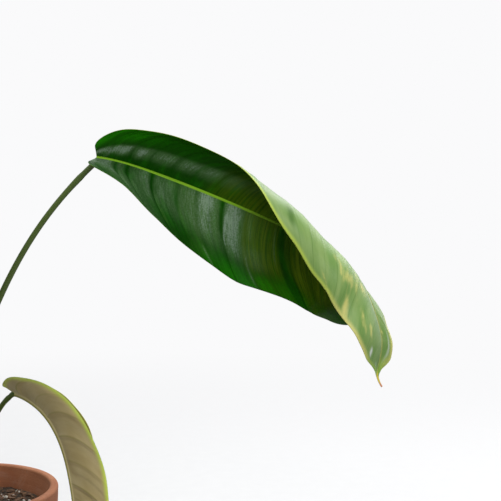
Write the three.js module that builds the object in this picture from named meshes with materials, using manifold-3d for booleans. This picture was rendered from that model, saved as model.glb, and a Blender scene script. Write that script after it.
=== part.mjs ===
// A young climbing aroid with long drooping leaves, in a plain clay pot.
// Millimetres and degrees, +Z up. The origin is the centre of the pot's flat underside.
import * as THREE from "three";
import { mergeVertices } from "three/addons/utils/BufferGeometryUtils.js";
import Module from "manifold-3d";

// Driving dimensions
const GAP = 0.3; // clearance between pieces that touch
const POT = {
  height: 130,
  footRadius: 50,
  rimRadius: 75,
  shoulderRadius: 66, // outside of the wall, just under the rim band
  wall: 6,
  floor: 8,
  bandHeight: 28,
  edge: 1.5, // rounding of the rim and foot
  drains: 3,
  drainRadius: 6,
  drainCircle: 22,
  sides: 48,
};
const SOIL = { level: 112, relief: 1.8, calm: 18, sides: 36 };
const STEM = {
  foot: 66, // lower end, inside the soil
  top: 262,
  radius: 6,
  topRadius: 4.6,
  sway: 3, // how far the line of the stem leaves the pot's centre line
  nodeSwell: 1,
  sides: 12,
};
const ROOT = { radius: 1.4, tip: 0.5, steps: 5, sides: 5 };
const PETIOLE = { knee: 7, steps: 12, kneeSteps: 4, sides: 8 };
const BLADE = {
  thickness: 0.9,
  quilt: 0.5, // height of the panels between the veins
  ribTop: 0.5,
  ribUnder: 1.9,
  ribWidth: 2.6,
  tipHalfWidth: 0.9,
  smallHalf: [0, 0.28, 0.62, 1], // columns from the rib's edge to the margin
  fineHalf: [0, 0.25, 0.5, 0.75, 1],
};
const SPEAR = { length: 190, radius: 3.6, steps: 16, sides: 12, turns: 2.2 };
const SHEATH = { length: 62, halfWidth: 5 };

// A leaf's shape is given by keys: pairs of place along the midrib, 0 to 1, and value.
// pitch and yaw head the midrib, roll turns the blade about it.
// left and right are half widths as shares of halfWidth.
// fold is each half's angle to the midrib's own plane, and curl its bend per millimetre.
// onset is where a half starts to curl, reach where it stops, in millimetres from the rib.
const PLAIN = {
  left: [[0, 0.35], [0.05, 0.64], [0.12, 0.83], [0.25, 0.97], [0.4, 1], [0.6, 0.94], [0.75, 0.78],
    [0.87, 0.5], [0.95, 0.2], [0.98, 0.05], [1, 0.02]],
  right: [[0, 0.35], [0.05, 0.64], [0.12, 0.83], [0.25, 0.97], [0.4, 1], [0.6, 0.94], [0.75, 0.78],
    [0.87, 0.5], [0.95, 0.2], [0.98, 0.05], [1, 0.02]],
  foldLeft: [[0, 30], [0.2, 22], [0.6, 14], [1, 8]],
  foldRight: [[0, 30], [0.2, 22], [0.6, 14], [1, 8]],
  curlLeft: [[0, -0.2], [0.3, -0.5], [1, -0.6]],
  curlRight: [[0, -0.2], [0.3, -0.5], [1, -0.6]],
  onsetLeft: [[0, 0], [1, 0]],
  reachRight: [[0, 1000], [1, 1000]],
  leadLeft: [[0, -0.05], [0.08, 0.01], [0.3, 0.05], [0.6, 0.06], [0.85, 0.03], [1, 0]],
  leadRight: [[0, -0.05], [0.08, 0.01], [0.3, 0.05], [0.6, 0.06], [0.85, 0.03], [1, 0]],
  yaw: [[0, 0], [1, 0]],
  roll: [[0, 0], [1, 0]],
  lobeLeft: 0.45, // width of each basal lobe's end, and how soon it rounds to full width
  lobeRight: 0.45,
  roundLeft: 0.05,
  roundRight: 0.05,
  wave: 2.2, // height of the margin's waves
  waves: 5,
  wavePhase: 0,
  veins: 13, // main side veins in each half
  fine: false,
  tuck: [0, 0, 0],
};

// Leaves from the oldest to the youngest. node is the height of the leaf's joint on the stem,
// azimuth its direction, and base the blade's base in the leaf's own frame.
const LEAVES = [
  {
    name: "leaf_1", node: 132, azimuth: 190, base: [60, 0, 40], leave: 30, arrive: 30, stalk: 0.62,
    length: 140, halfWidth: 27, wave: 1.2, waves: 4,
    pitch: [[0, 14], [0.3, -6], [0.6, -32], [1, -58]],
    roll: [[0, 8], [1, -6]],
  },
  {
    name: "leaf_2", node: 150, azimuth: -36, base: [56, 0, 66], leave: 46, arrive: 32, stalk: 0.82,
    length: 215, halfWidth: 38, wave: 1, waves: 5, wavePhase: 1,
    pitch: [[0, -6], [0.12, -28], [0.25, -56], [0.4, -76], [0.6, -84], [1, -88]],
    yaw: [[0, 0], [1, 4]],
    roll: [[0, -14], [0.3, -36], [1, -42]],
    foldLeft: [[0, 30], [0.4, 30], [1, 20]],
    foldRight: [[0, 34], [0.4, 36], [1, 24]],
    curlLeft: [[0, 0.1], [1, 0.2]],
    curlRight: [[0, 0.3], [0.4, 0.8], [1, 0.4]],
  },
  {
    name: "leaf_3", node: 170, azimuth: 112, base: [86, 0, 116], leave: 58, arrive: 38, stalk: 0.9,
    length: 265, halfWidth: 45, wavePhase: 2,
    pitch: [[0, 2], [0.2, -26], [0.5, -62], [0.8, -80], [1, -84]],
    roll: [[0, -6], [0.6, 12], [1, 20]],
  },
  {
    name: "leaf_4", node: 190, azimuth: 235, base: [98, 0, 100], leave: 56, arrive: 30, stalk: 0.9,
    length: 250, halfWidth: 43, wavePhase: 3.4,
    pitch: [[0, -4], [0.2, -32], [0.5, -64], [0.8, -80], [1, -84]],
    yaw: [[0, 0], [1, -14]],
    roll: [[0, 6], [0.6, -10], [1, -16]],
  },
  {
    name: "leaf_5", node: 212, azimuth: 0, base: [114.5, -10, 192], leave: 70, arrive: 42,
    stalk: 0.9, tuck: [5, 3.5, -1.5], length: 335, halfWidth: 52, wave: 0.5, waves: 6, fine: true,
    pitch: [[0, -8], [0.1, -18], [0.2, -21], [0.35, -23.5], [0.48, -25.5], [0.58, -31], [0.68, -45],
      [0.76, -64], [0.86, -78], [0.9, -95], [0.94, -102], [0.965, -85], [1, -55]],
    yaw: [[0, 0], [0.3, 6], [0.5, 12], [0.65, 5], [0.8, -15], [1, -10]],
    roll: [[0, 88], [0.3, 91], [0.43, 103], [0.55, 126], [0.65, 146], [0.75, 162], [0.83, 171],
      [0.9, 184], [1, 200]],
    left: [[0, 0.42], [0.05, 0.6], [0.15, 0.81], [0.3, 0.95], [0.42, 1.13], [0.52, 1.08],
      [0.62, 1.02], [0.72, 0.86], [0.82, 0.69], [0.9, 0.44], [0.95, 0.08], [0.975, 0.03], [1, 0.01]],
    right: [[0, 0.4], [0.04, 0.5], [0.1, 0.69], [0.16, 0.75], [0.3, 1], [0.45, 1.2], [0.56, 1.09],
      [0.64, 1.28], [0.7, 1.06], [0.74, 0.7], [0.78, 0.385], [0.83, 0.23], [0.88, 0.22],
      [0.92, 0.075], [0.95, 0.02], [1, 0.01]],
    foldLeft: [[0, 25], [0.2, 28], [0.35, 20], [0.5, 5], [1, 0]],
    foldRight: [[0, 65], [0.08, 60], [0.18, 30], [0.3, 5], [0.6, -2.5], [0.68, -9], [0.74, -21],
      [0.8, -39], [0.86, -46], [0.92, -40], [1, -20]],
    curlLeft: [[0, 1], [0.2, 1.5], [0.35, 2.9], [0.45, 3.3], [0.6, 2.8], [0.75, 2.2], [0.85, 1.5],
      [1, 1]],
    curlRight: [[0, 0.2], [0.3, 0.3], [0.5, 2.17], [0.64, 2.86], [0.7, 3.25], [0.75, 3.4],
      [0.8, 3.16], [0.85, 2.97], [0.9, -0.2], [1, 0]],
    onsetLeft: [[0, 16], [0.25, 20], [0.5, 6], [0.6, 0], [1, 0]],
    reachRight: [[0, 60], [0.47, 0], [0.7, 22.7], [0.8, 35], [1, 30]],
    leadLeft: [[0, -0.006], [0.08, 0.01], [0.3, 0.05], [0.6, 0.06], [0.85, 0.03], [1, 0]],
    leadRight: [[0, -0.015], [0.08, 0], [0.3, 0.05], [0.5, 0.075], [0.65, 0.167], [0.8, 0.047],
      [0.9, 0.041], [1, 0]],
    lobeLeft: 0.45, lobeRight: 0.5, roundLeft: 0.07, roundRight: 0.06,
  },
  {
    name: "leaf_6", node: 232, azimuth: 150, base: [112, 0, 150], leave: 68, arrive: 36, stalk: 1,
    length: 300, halfWidth: 49, wavePhase: 5,
    pitch: [[0, 10], [0.2, -14], [0.5, -50], [0.8, -75], [1, -84]],
    yaw: [[0, 0], [1, 10]],
    roll: [[0, -8], [0.5, -14], [1, 10]],
  },
  {
    name: "leaf_7", node: 250, azimuth: 268, base: [84, 0, 150], leave: 74, arrive: 46, stalk: 0.95,
    length: 285, halfWidth: 46, wavePhase: 0.6,
    pitch: [[0, 24], [0.25, -4], [0.5, -38], [0.8, -70], [1, -80]],
    yaw: [[0, 0], [1, -8]],
    roll: [[0, 6], [0.5, 14], [1, 4]],
  },
];
// Aerial roots: height on the stem, direction, length, and how far they stand off.
const ROOTS = [
  [134, 60, 24, 8], [136, 285, 22, 9], [152, 130, 38, 12], [154, 262, 34, 10], [172, 28, 48, 14],
  [192, 300, 24, 10], [214, 200, 18, 7], [236, 300, 14, 6],
];
// Dry sheaths left at the young nodes: height, direction and lean.
const SHEATHS = [
  { name: "sheath_1", height: 219, azimuth: 82, lean: 80 },
  { name: "sheath_2", height: 241, azimuth: 216, lean: 80 },
];
const COLOURS = {
  clay: 0xb5704a,
  soil: 0x3a2c21,
  stem: 0x5c6b34,
  petiole: 0x4f6224,
  blade: 0x1f4a12,
  oldBlade: 0x8d7d3c,
  spear: 0x6f9638,
  sheath: 0x8a6a45,
};

const wasm = await Module();
wasm.setup();

const UP = new THREE.Vector3(0, 0, 1);
const radians = THREE.MathUtils.degToRad;

// A smooth curve through keys, level past its ends and with no overshoot between them.
function smooth(keys, place) {
  const last = keys.length - 1;
  const x = THREE.MathUtils.clamp(place, keys[0][0], keys[last][0]);
  const rise = (i) => (keys[i + 1][1] - keys[i][1]) / (keys[i + 1][0] - keys[i][0]);
  const slope = (i) => {
    if (i === 0) return rise(0);
    if (i === last) return rise(last - 1);
    const before = rise(i - 1);
    const after = rise(i);
    return before * after <= 0 ? 0 : (2 * before * after) / (before + after);
  };
  let i = 0;
  while (i < last - 1 && x >= keys[i + 1][0]) i += 1;
  const step = keys[i + 1][0] - keys[i][0];
  const u = (x - keys[i][0]) / step;
  const v = 1 - u;
  return v * v * (1 + 2 * u) * keys[i][1] + u * v * v * step * slope(i)
    + u * u * (1 + 2 * v) * keys[i + 1][1] - u * u * v * step * slope(i + 1);
}

// The unit direction with a pitch above the level and a yaw about the vertical.
function heading(pitch, yaw) {
  const p = radians(pitch);
  const a = radians(yaw);
  return new THREE.Vector3(Math.cos(p) * Math.cos(a), Math.cos(p) * Math.sin(a), Math.sin(p));
}

// The level direction to the left of a heading, and the one over it.
function levelFrame(along) {
  const side = new THREE.Vector3().crossVectors(UP, along).normalize();
  return { side, over: new THREE.Vector3().crossVectors(along, side) };
}

// Shapes and booleans
function geometryFrom(points, triangles) {
  const geometry = new THREE.BufferGeometry().setFromPoints(points);
  geometry.setIndex(triangles);
  return geometry;
}

// A closed skin over rings of points, each ring running left-handed about the way forward.
function skin(rings) {
  const sides = rings[0].length;
  const triangles = [];
  for (let i = 0; i < rings.length - 1; i += 1) {
    for (let j = 0; j < sides; j += 1) {
      const a = i * sides + j;
      const b = i * sides + ((j + 1) % sides);
      triangles.push(a, b, b + sides, a, b + sides, a + sides);
    }
  }
  const end = (rings.length - 1) * sides;
  for (let j = 1; j < sides - 1; j += 1) {
    triangles.push(0, j + 1, j);
    triangles.push(end, end + j, end + j + 1);
  }
  return geometryFrom(rings.flat(), triangles);
}

// A ring of points about a centre, with a radius for each direction.
function ring(centre, along, radiusAt, sides) {
  const { side, over } = levelFrame(along);
  return Array.from({ length: sides }, (_, j) => {
    const angle = (2 * Math.PI * j) / sides;
    const radius = radiusAt(angle);
    return centre.clone()
      .addScaledVector(side, radius * Math.cos(angle))
      .addScaledVector(over, radius * Math.sin(angle));
  });
}

function solidOf(geometry) {
  const bare = geometry.clone();
  bare.deleteAttribute("normal");
  bare.deleteAttribute("uv");
  const merged = mergeVertices(bare, 1e-4);
  return new wasm.Manifold(new wasm.Mesh({
    numProp: 3,
    vertProperties: new Float32Array(merged.attributes.position.array),
    triVerts: new Uint32Array(merged.index.array),
  }));
}

// The largest body of a solid, as a geometry: a cut can leave loose scraps.
function geometryOf(solid) {
  const bodies = solid.decompose().sort((a, b) => b.volume() - a.volume());
  const mesh = bodies[0].getMesh();
  const geometry = new THREE.BufferGeometry();
  geometry.setAttribute("position", new THREE.BufferAttribute(mesh.vertProperties, 3));
  geometry.setIndex(new THREE.BufferAttribute(mesh.triVerts, 1));
  geometry.computeVertexNormals();
  return geometry;
}

function named(name, geometry, colour, roughness) {
  const material = new THREE.MeshStandardMaterial({ color: colour, roughness, metalness: 0 });
  const mesh = new THREE.Mesh(geometry, material);
  mesh.name = name;
  return mesh;
}

// A turned solid from a profile of [radius, height] pairs.
function turned(profile, sides) {
  const points = profile.map(([radius, height]) => new THREE.Vector2(radius, height));
  return new THREE.LatheGeometry(points, sides).rotateX(Math.PI / 2);
}

// Pot: a tapering wall with a rim band, a flat floor and drain holes
const POT_INSIDE = {
  foot: POT.footRadius - POT.wall + 1,
  shoulder: POT.shoulderRadius - POT.wall,
  rim: POT.rimRadius - POT.wall - 1,
};
const BAND_FOOT = POT.height - POT.bandHeight;

function potInsideRadius(height) {
  const low = [POT.floor + POT.edge, POT_INSIDE.foot];
  const mid = [BAND_FOOT, POT_INSIDE.shoulder];
  const high = [POT.height - POT.edge, POT_INSIDE.rim];
  const [from, to] = height < BAND_FOOT ? [low, mid] : [mid, high];
  return THREE.MathUtils.mapLinear(height, from[0], to[0], from[1], to[1]);
}

function potGeometry() {
  const { height, footRadius, rimRadius, shoulderRadius, floor, edge } = POT;
  const profile = [
    [0, 0],
    [footRadius - edge, 0],
    [footRadius, edge],
    [shoulderRadius, BAND_FOOT],
    [rimRadius - edge - 1, BAND_FOOT + 0.6],
    [rimRadius - 1, BAND_FOOT + 2],
    [rimRadius, height - edge],
    [rimRadius - edge, height],
    [POT_INSIDE.rim + edge, height],
    [POT_INSIDE.rim, height - edge],
    [POT_INSIDE.shoulder, BAND_FOOT],
    [POT_INSIDE.foot, floor + edge],
    [POT_INSIDE.foot - edge, floor],
    [0, floor],
  ];
  let pot = solidOf(turned(profile, POT.sides));
  for (let i = 0; i < POT.drains; i += 1) {
    const angle = (2 * Math.PI * i) / POT.drains;
    const drill = new THREE.CylinderGeometry(POT.drainRadius, POT.drainRadius, 3 * floor, 16)
      .rotateX(Math.PI / 2)
      .translate(POT.drainCircle * Math.cos(angle), POT.drainCircle * Math.sin(angle), 0);
    pot = pot.subtract(solidOf(drill));
  }
  return geometryOf(pot);
}

// Stem: a swaying stalk, swollen at its joints, with its aerial roots
function stemCentre(height) {
  const rise = Math.max(0, height - SOIL.level);
  const ease = Math.min(1, rise / 30);
  return new THREE.Vector3(
    STEM.sway * ease * Math.sin(rise / 26),
    0.8 * STEM.sway * ease * Math.sin(rise / 19 + 1),
    height,
  );
}

function stemRadius(height) {
  const share = THREE.MathUtils.clamp((height - SOIL.level) / (STEM.top - SOIL.level), 0, 1);
  let radius = THREE.MathUtils.lerp(STEM.radius, STEM.topRadius, share);
  for (const leaf of LEAVES) {
    const away = (height - leaf.node) / 3;
    radius += STEM.nodeSwell * Math.exp(-away * away);
  }
  return radius;
}

function stemHeights() {
  const heights = [STEM.foot, STEM.foot + 1.5, SOIL.level - 4, SOIL.level + 6, STEM.top - 2.5];
  for (const { node } of LEAVES) heights.push(node - 8, node - 3, node, node + 3);
  return heights.sort((a, b) => a - b);
}

// grow adds the clearance that another piece keeps to the stem.
function stemSolid(grow) {
  const rings = stemHeights().map((height) => ring(
    stemCentre(height),
    new THREE.Vector3(1e-6, 0, 1),
    () => stemRadius(height) + grow - (height === STEM.foot ? 1.2 : 0),
    STEM.sides,
  ));
  rings[0].forEach((point) => point.setZ(point.z - grow));
  rings.push(ring(
    stemCentre(STEM.top).setZ(STEM.top + grow),
    new THREE.Vector3(1e-6, 0, 1),
    () => STEM.topRadius - 2 + grow,
    STEM.sides,
  ));
  return solidOf(skin(rings));
}

function rootSolid([height, azimuth, length, standOff]) {
  const out = heading(0, azimuth);
  const start = stemCentre(height).addScaledVector(out, 2);
  const reach = stemRadius(height) + standOff;
  const lowest = Math.max(height - length, SOIL.level + ROOT.radius + 1);
  const line = new THREE.CatmullRomCurve3([
    start,
    stemCentre(height).addScaledVector(out, reach * 0.75).setZ(height - 2),
    stemCentre(height).addScaledVector(out, reach).setZ(height - 0.45 * (height - lowest)),
    stemCentre(height).addScaledVector(out, reach * 1.05).setZ(lowest),
  ]);
  const rings = [];
  for (let i = 0; i <= ROOT.steps; i += 1) {
    const share = i / ROOT.steps;
    const radius = THREE.MathUtils.lerp(ROOT.radius, ROOT.tip, share ** 3);
    rings.push(ring(line.getPoint(share), line.getTangent(share), () => radius, ROOT.sides));
  }
  return solidOf(skin(rings));
}

function stemGeometry() {
  let stem = stemSolid(0);
  for (const root of ROOTS) stem = stem.add(rootSolid(root));
  return geometryOf(stem);
}

// Soil: fills the pot, with a plain hole for the stem and a gently uneven top
function soilGeometry() {
  const level = SOIL.level;
  const edgeRadius = potInsideRadius(level) - GAP;
  const holeRadius = STEM.radius + GAP;
  const profile = [
    [0, POT.floor + GAP],
    [POT_INSIDE.foot - POT.edge - GAP, POT.floor + GAP],
    [POT_INSIDE.foot - GAP, POT.floor + POT.edge + GAP],
    [potInsideRadius(BAND_FOOT) - GAP, BAND_FOOT],
    [edgeRadius, level],
    [0.86 * edgeRadius, level],
    [0.68 * edgeRadius, level],
    [0.5 * edgeRadius, level],
    [SOIL.calm, level],
    [holeRadius, level],
    [holeRadius, STEM.foot - GAP],
    [0, STEM.foot - GAP],
  ];
  const geometry = turned(profile, SOIL.sides);
  const position = geometry.attributes.position;
  for (let i = 0; i < position.count; i += 1) {
    const x = position.getX(i);
    const y = position.getY(i);
    const radius = Math.hypot(x, y);
    const onTop = Math.abs(position.getZ(i) - level) < 1e-3;
    if (onTop && radius > SOIL.calm + 1 && radius < edgeRadius - 1) {
      const bumps = Math.sin(x / 7 + 1) * Math.cos(y / 6) + 0.6 * Math.sin(x / 3.1 - y / 4.3);
      position.setZ(i, level + SOIL.relief * bumps * 0.7);
    }
  }
  return geometry;
}

// Blade: a thin sheet over a grid of rows along the side veins and columns along the midrib
function midribOf(leaf) {
  const steps = 200;
  const step = leaf.length / steps;
  const frames = [];
  const point = new THREE.Vector3(...leaf.base);
  for (let i = 0; i <= steps; i += 1) {
    const t = i / steps;
    const yaw = smooth(leaf.yaw, t);
    const along = heading(smooth(leaf.pitch, t), yaw);
    if (i > 0) point.addScaledVector(along.clone().add(frames[i - 1].along), step / 2);
    const side = heading(0, yaw + 90);
    const over = new THREE.Vector3().crossVectors(along, side);
    const roll = radians(smooth(leaf.roll, t));
    frames.push({
      point: point.clone(),
      along,
      left: side.clone().multiplyScalar(Math.cos(roll)).addScaledVector(over, Math.sin(roll)),
      top: over.clone().multiplyScalar(Math.cos(roll)).addScaledVector(side, -Math.sin(roll)),
    });
  }
  return (t) => {
    const place = THREE.MathUtils.clamp(t, 0, 1) * steps;
    const i = Math.min(Math.floor(place), steps - 1);
    const mix = (key) => frames[i][key].clone().lerp(frames[i + 1][key], place - i);
    return { point: mix("point"), along: mix("along"), left: mix("left"), top: mix("top") };
  };
}

// The half width of one side at a row, with its basal lobe rounded.
function halfWidth(leaf, row, isLeft) {
  const lobe = isLeft ? leaf.lobeLeft : leaf.lobeRight;
  const round = isLeft ? leaf.roundLeft : leaf.roundRight;
  const fill = Math.sqrt(1 - (1 - Math.min(row / round, 1)) ** 2);
  const share = smooth(isLeft ? leaf.left : leaf.right, row) * (lobe + (1 - lobe) * fill);
  return Math.max(share * leaf.halfWidth, BLADE.tipHalfWidth);
}

// A point of the sheet: row 0 to 1, distance out from the midrib, and the side.
function sheetPoint(leaf, midrib, row, out, isLeft) {
  const half = halfWidth(leaf, row, isLeft);
  const share = out / half;
  const t = row + smooth(isLeft ? leaf.leadLeft : leaf.leadRight, row) * share ** 1.3;
  const inside = THREE.MathUtils.clamp(t, 0, 1);
  const fold = radians(smooth(isLeft ? leaf.foldLeft : leaf.foldRight, inside));
  const bend = radians(smooth(isLeft ? leaf.curlLeft : leaf.curlRight, inside));
  const curl = Math.abs(bend) < 1e-6 ? 1e-6 : bend;
  const from = isLeft ? smooth(leaf.onsetLeft, inside) : 0;
  const to = isLeft ? 1000 : smooth(leaf.reachRight, inside);
  const flat = Math.min(out, from);
  const arc = THREE.MathUtils.clamp(out - from, 0, to - from);
  const rest = Math.max(out - to, 0);
  const end = fold + curl * arc;
  const across = flat * Math.cos(fold) + (Math.sin(end) - Math.sin(fold)) / curl
    + rest * Math.cos(end);
  const quilt = BLADE.quilt * Math.cos(2 * Math.PI * leaf.veins * row)
    * THREE.MathUtils.smoothstep(share, 0.08, 0.25) * (1 - THREE.MathUtils.smoothstep(share, 0.8, 1));
  const waving = THREE.MathUtils.smoothstep(row, 0, 0.15) * (1 - THREE.MathUtils.smoothstep(row, 0.8, 1));
  const wave = leaf.wave * share ** 3 * waving
    * Math.sin(2 * Math.PI * leaf.waves * row + leaf.wavePhase + (isLeft ? 0 : 2));
  const rise = flat * Math.sin(fold) + (Math.cos(fold) - Math.cos(end)) / curl
    + rest * Math.sin(end);
  const frame = midrib(t);
  return frame.point
    .addScaledVector(frame.along, (t - inside) * leaf.length)
    .addScaledVector(frame.left, (isLeft ? 1 : -1) * (across - Math.sin(end) * (quilt + wave)))
    .addScaledVector(frame.top, rise + Math.cos(end) * (quilt + wave));
}

// Rows at the side veins and between them, closer at the base and the tip.
function bladeRows(leaf) {
  const steps = leaf.veins * (leaf.fine ? 4 : 2);
  const rows = Array.from({ length: steps + 1 }, (_, i) => i / steps);
  rows.push(leaf.fine ? 0.006 : 0.014, 0.975);
  if (!leaf.fine) rows.push(0.99);
  return rows.sort((a, b) => a - b);
}

function bladeSolid(leaf) {
  const midrib = midribOf(leaf);
  const rows = bladeRows(leaf);
  const spread = leaf.fine ? BLADE.fineHalf : BLADE.smallHalf;
  const columns = [
    ...spread.toReversed().map((share) => ({ share, isLeft: false })),
    null,
    ...spread.map((share) => ({ share, isLeft: true })),
  ];
  const middle = spread.length;
  const grid = rows.map((row) => columns.map((column) => {
    if (!column) return sheetPoint(leaf, midrib, row, 0, true);
    const half = halfWidth(leaf, row, column.isLeft);
    const rib = Math.min(BLADE.ribWidth * (1 - 0.7 * row), 0.45 * half);
    return sheetPoint(leaf, midrib, row, rib + (half - rib) * column.share, column.isLeft);
  }));
  const points = [];
  rows.forEach((row, i) => columns.forEach((column, j) => {
    const behind = grid[Math.max(i - 1, 0)][j];
    const ahead = grid[Math.min(i + 1, rows.length - 1)][j];
    const right = grid[i][Math.max(j - 1, 0)];
    const left = grid[i][Math.min(j + 1, columns.length - 1)];
    const normal = new THREE.Vector3()
      .crossVectors(ahead.clone().sub(behind), left.clone().sub(right))
      .normalize();
    const onRib = j === middle ? 1 - 0.8 * row : 0;
    const half = BLADE.thickness / 2;
    points.push(
      grid[i][j].clone().addScaledVector(normal, half + BLADE.ribTop * onRib),
      grid[i][j].clone().addScaledVector(normal, -half - BLADE.ribUnder * onRib),
    );
  }));
  const top = (i, j) => 2 * (i * columns.length + j);
  const under = (i, j) => top(i, j) + 1;
  const triangles = [];
  const quad = (a, b, c, d) => triangles.push(a, b, c, a, c, d);
  const lastRow = rows.length - 1;
  const lastColumn = columns.length - 1;
  for (let i = 0; i < lastRow; i += 1) {
    for (let j = 0; j < lastColumn; j += 1) {
      quad(top(i, j), top(i + 1, j), top(i + 1, j + 1), top(i, j + 1));
      triangles.push(under(i, j), under(i + 1, j + 1), under(i + 1, j));
      triangles.push(under(i, j), under(i, j + 1), under(i + 1, j + 1));
    }
    quad(top(i, 0), under(i, 0), under(i + 1, 0), top(i + 1, 0));
    quad(under(i, lastColumn), top(i, lastColumn), top(i + 1, lastColumn), under(i + 1, lastColumn));
  }
  for (let j = 0; j < lastColumn; j += 1) {
    quad(under(0, j), top(0, j), top(0, j + 1), under(0, j + 1));
    quad(top(lastRow, j), under(lastRow, j), under(lastRow, j + 1), top(lastRow, j + 1));
  }
  return solidOf(geometryFrom(points, triangles));
}

// Petiole: an arching stalk from the stem, with a short knee that turns into the midrib. Where it
// is tucked, it ends off the midrib's start, behind the blade.
function petioleLine(leaf) {
  const base = new THREE.Vector3(...leaf.base).add(new THREE.Vector3(...leaf.tuck));
  const first = heading(smooth(leaf.pitch, 0), smooth(leaf.yaw, 0));
  const arrive = heading(leaf.arrive, Math.atan2(base.y, base.x) * THREE.MathUtils.RAD2DEG);
  const turn = arrive.angleTo(first);
  const kneeStep = (PETIOLE.knee * leaf.stalk * turn) / PETIOLE.kneeSteps;
  const knee = [base];
  for (let i = 0; i < PETIOLE.kneeSteps; i += 1) {
    const share = (i + 0.5) / PETIOLE.kneeSteps;
    const along = first.clone().lerp(arrive, share).normalize();
    knee.unshift(knee[0].clone().addScaledVector(along, -kneeStep));
  }
  const start = new THREE.Vector3(1.5, 0, 0);
  const span = start.distanceTo(knee[0]);
  const arch = new THREE.CubicBezierCurve3(
    start,
    start.clone().addScaledVector(heading(leaf.leave, 0), 0.4 * span),
    knee[0].clone().addScaledVector(arrive, -0.35 * span),
    knee[0],
  );
  return [...arch.getPoints(PETIOLE.steps), ...knee.slice(1)];
}

const STALK_RADII = [[0, 4.2], [0.1, 3.6], [0.3, 2.9], [0.8, 2.6], [0.93, 3], [1, 2.5]];

function petioleSolid(leaf, grow) {
  const line = petioleLine(leaf);
  const last = line.length - 1;
  const rings = line.map((point, i) => {
    const behind = line[Math.max(i - 1, 0)];
    const ahead = line[Math.min(i + 1, last)];
    const along = ahead.clone().sub(behind).normalize();
    const radius = smooth(STALK_RADII, i / last) * leaf.stalk + grow;
    const centre = i === last ? point.clone().addScaledVector(along, grow) : point;
    return ring(centre, along, () => radius, PETIOLE.sides);
  });
  return solidOf(skin(rings));
}

// Spear: the newest leaf, still rolled up, with the edge of its roll winding up it
function spearSolid() {
  const line = new THREE.QuadraticBezierCurve3(
    new THREE.Vector3(0, 0, -3),
    new THREE.Vector3(0, 0, 0.5 * SPEAR.length),
    new THREE.Vector3(0.12 * SPEAR.length, 0.1 * SPEAR.length, SPEAR.length),
  );
  const shape = [[0, 0.72], [0.3, 0.7], [0.42, 1], [0.6, 1.05], [0.85, 0.62], [1, 0.16]];
  const rings = [];
  for (let i = 0; i <= SPEAR.steps; i += 1) {
    const share = i / SPEAR.steps;
    const wind = 2 * Math.PI * SPEAR.turns * share;
    const rolled = THREE.MathUtils.smoothstep(share, 0.3, 0.42);
    const radiusAt = (angle) => {
      const round = ((angle + wind) / (2 * Math.PI)) % 1;
      return SPEAR.radius * smooth(shape, share) * (1 + 0.16 * rolled * (round - 0.5));
    };
    rings.push(ring(line.getPoint(share), line.getTangent(share), radiusAt, SPEAR.sides));
  }
  return solidOf(skin(rings));
}

// Sheath: the dry bract that once wrapped a new leaf, standing against the stem
function sheathSolid(lean) {
  const bract = {
    ...PLAIN,
    base: [7.4, 0, 1],
    length: SHEATH.length,
    halfWidth: SHEATH.halfWidth,
    pitch: [[0, lean], [0.6, lean - 8], [1, lean - 40]],
    foldLeft: [[0, 30], [1, 12]],
    foldRight: [[0, 30], [1, 12]],
    curlLeft: [[0, 5], [1, 3]],
    curlRight: [[0, 5], [1, 3]],
    left: [[0, 0.85], [0.4, 1], [0.8, 0.6], [1, 0.15]],
    right: [[0, 0.85], [0.4, 1], [0.8, 0.6], [1, 0.15]],
    wave: 0.6,
    waves: 2,
    veins: 4,
  };
  return bladeSolid(bract);
}

// Assembly
const plant = new THREE.Group();
const pot = named("pot", potGeometry(), COLOURS.clay, 0.9);
const soil = named("soil", soilGeometry(), COLOURS.soil, 1);
const stem = named("stem", stemGeometry(), COLOURS.stem, 0.6);
plant.add(pot, soil, stem);

// What the next piece keeps clear of: the stem, and then each stalk as it is placed.
let taken = stemSolid(GAP);

// A group at a height on the stem, turned to an azimuth, and what is taken, in its frame.
function station(height, azimuth) {
  const group = new THREE.Group();
  group.position.copy(stemCentre(height));
  group.rotation.z = radians(azimuth);
  const { x, y, z } = group.position;
  const keepOut = taken.translate([-x, -y, -z]).rotate([0, 0, -azimuth]);
  const take = (solid) => {
    taken = taken.add(solid.rotate([0, 0, azimuth]).translate([x, y, z]));
  };
  plant.add(group);
  return { group, keepOut, take };
}

for (const given of LEAVES) {
  const leaf = { ...PLAIN, ...given };
  const { group, keepOut, take } = station(leaf.node, leaf.azimuth);
  const clearOfStalk = petioleSolid(leaf, GAP);
  const petiole = geometryOf(petioleSolid(leaf, 0).subtract(keepOut));
  const blade = geometryOf(bladeSolid(leaf).subtract(clearOfStalk));
  const colour = leaf.name === "leaf_2" ? COLOURS.oldBlade : COLOURS.blade;
  group.add(
    named(`${leaf.name}_petiole`, petiole, COLOURS.petiole, 0.5),
    named(`${leaf.name}_blade`, blade, colour, 0.35),
  );
  take(clearOfStalk);
}

const tip = station(STEM.top, 0);
tip.group.add(named("spear", geometryOf(spearSolid().subtract(tip.keepOut)), COLOURS.spear, 0.4));

for (const sheath of SHEATHS) {
  const { group, keepOut } = station(sheath.height, sheath.azimuth);
  const geometry = geometryOf(sheathSolid(sheath.lean).subtract(keepOut));
  group.add(named(sheath.name, geometry, COLOURS.sheath, 0.8));
}

export default plant;
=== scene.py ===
# %% [markdown]
# # A potted climbing aroid
#
# This lesson dresses a young climbing house plant: long drooping leaves on arching stalks, a
# green stem with aerial roots, and a plain clay pot of bark mix. The solid model already holds
# every piece at its real size. Here each piece gets a finer mesh of the same form and a finish
# that is worked out from noise and from the piece's own coordinates, so nothing is painted by
# hand and no picture is read.
#
# We start by loading the solid model as a fixed frame.

import math

import bmesh
import bpy
import numpy as np
from mathutils import Matrix, Vector, noise


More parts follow.
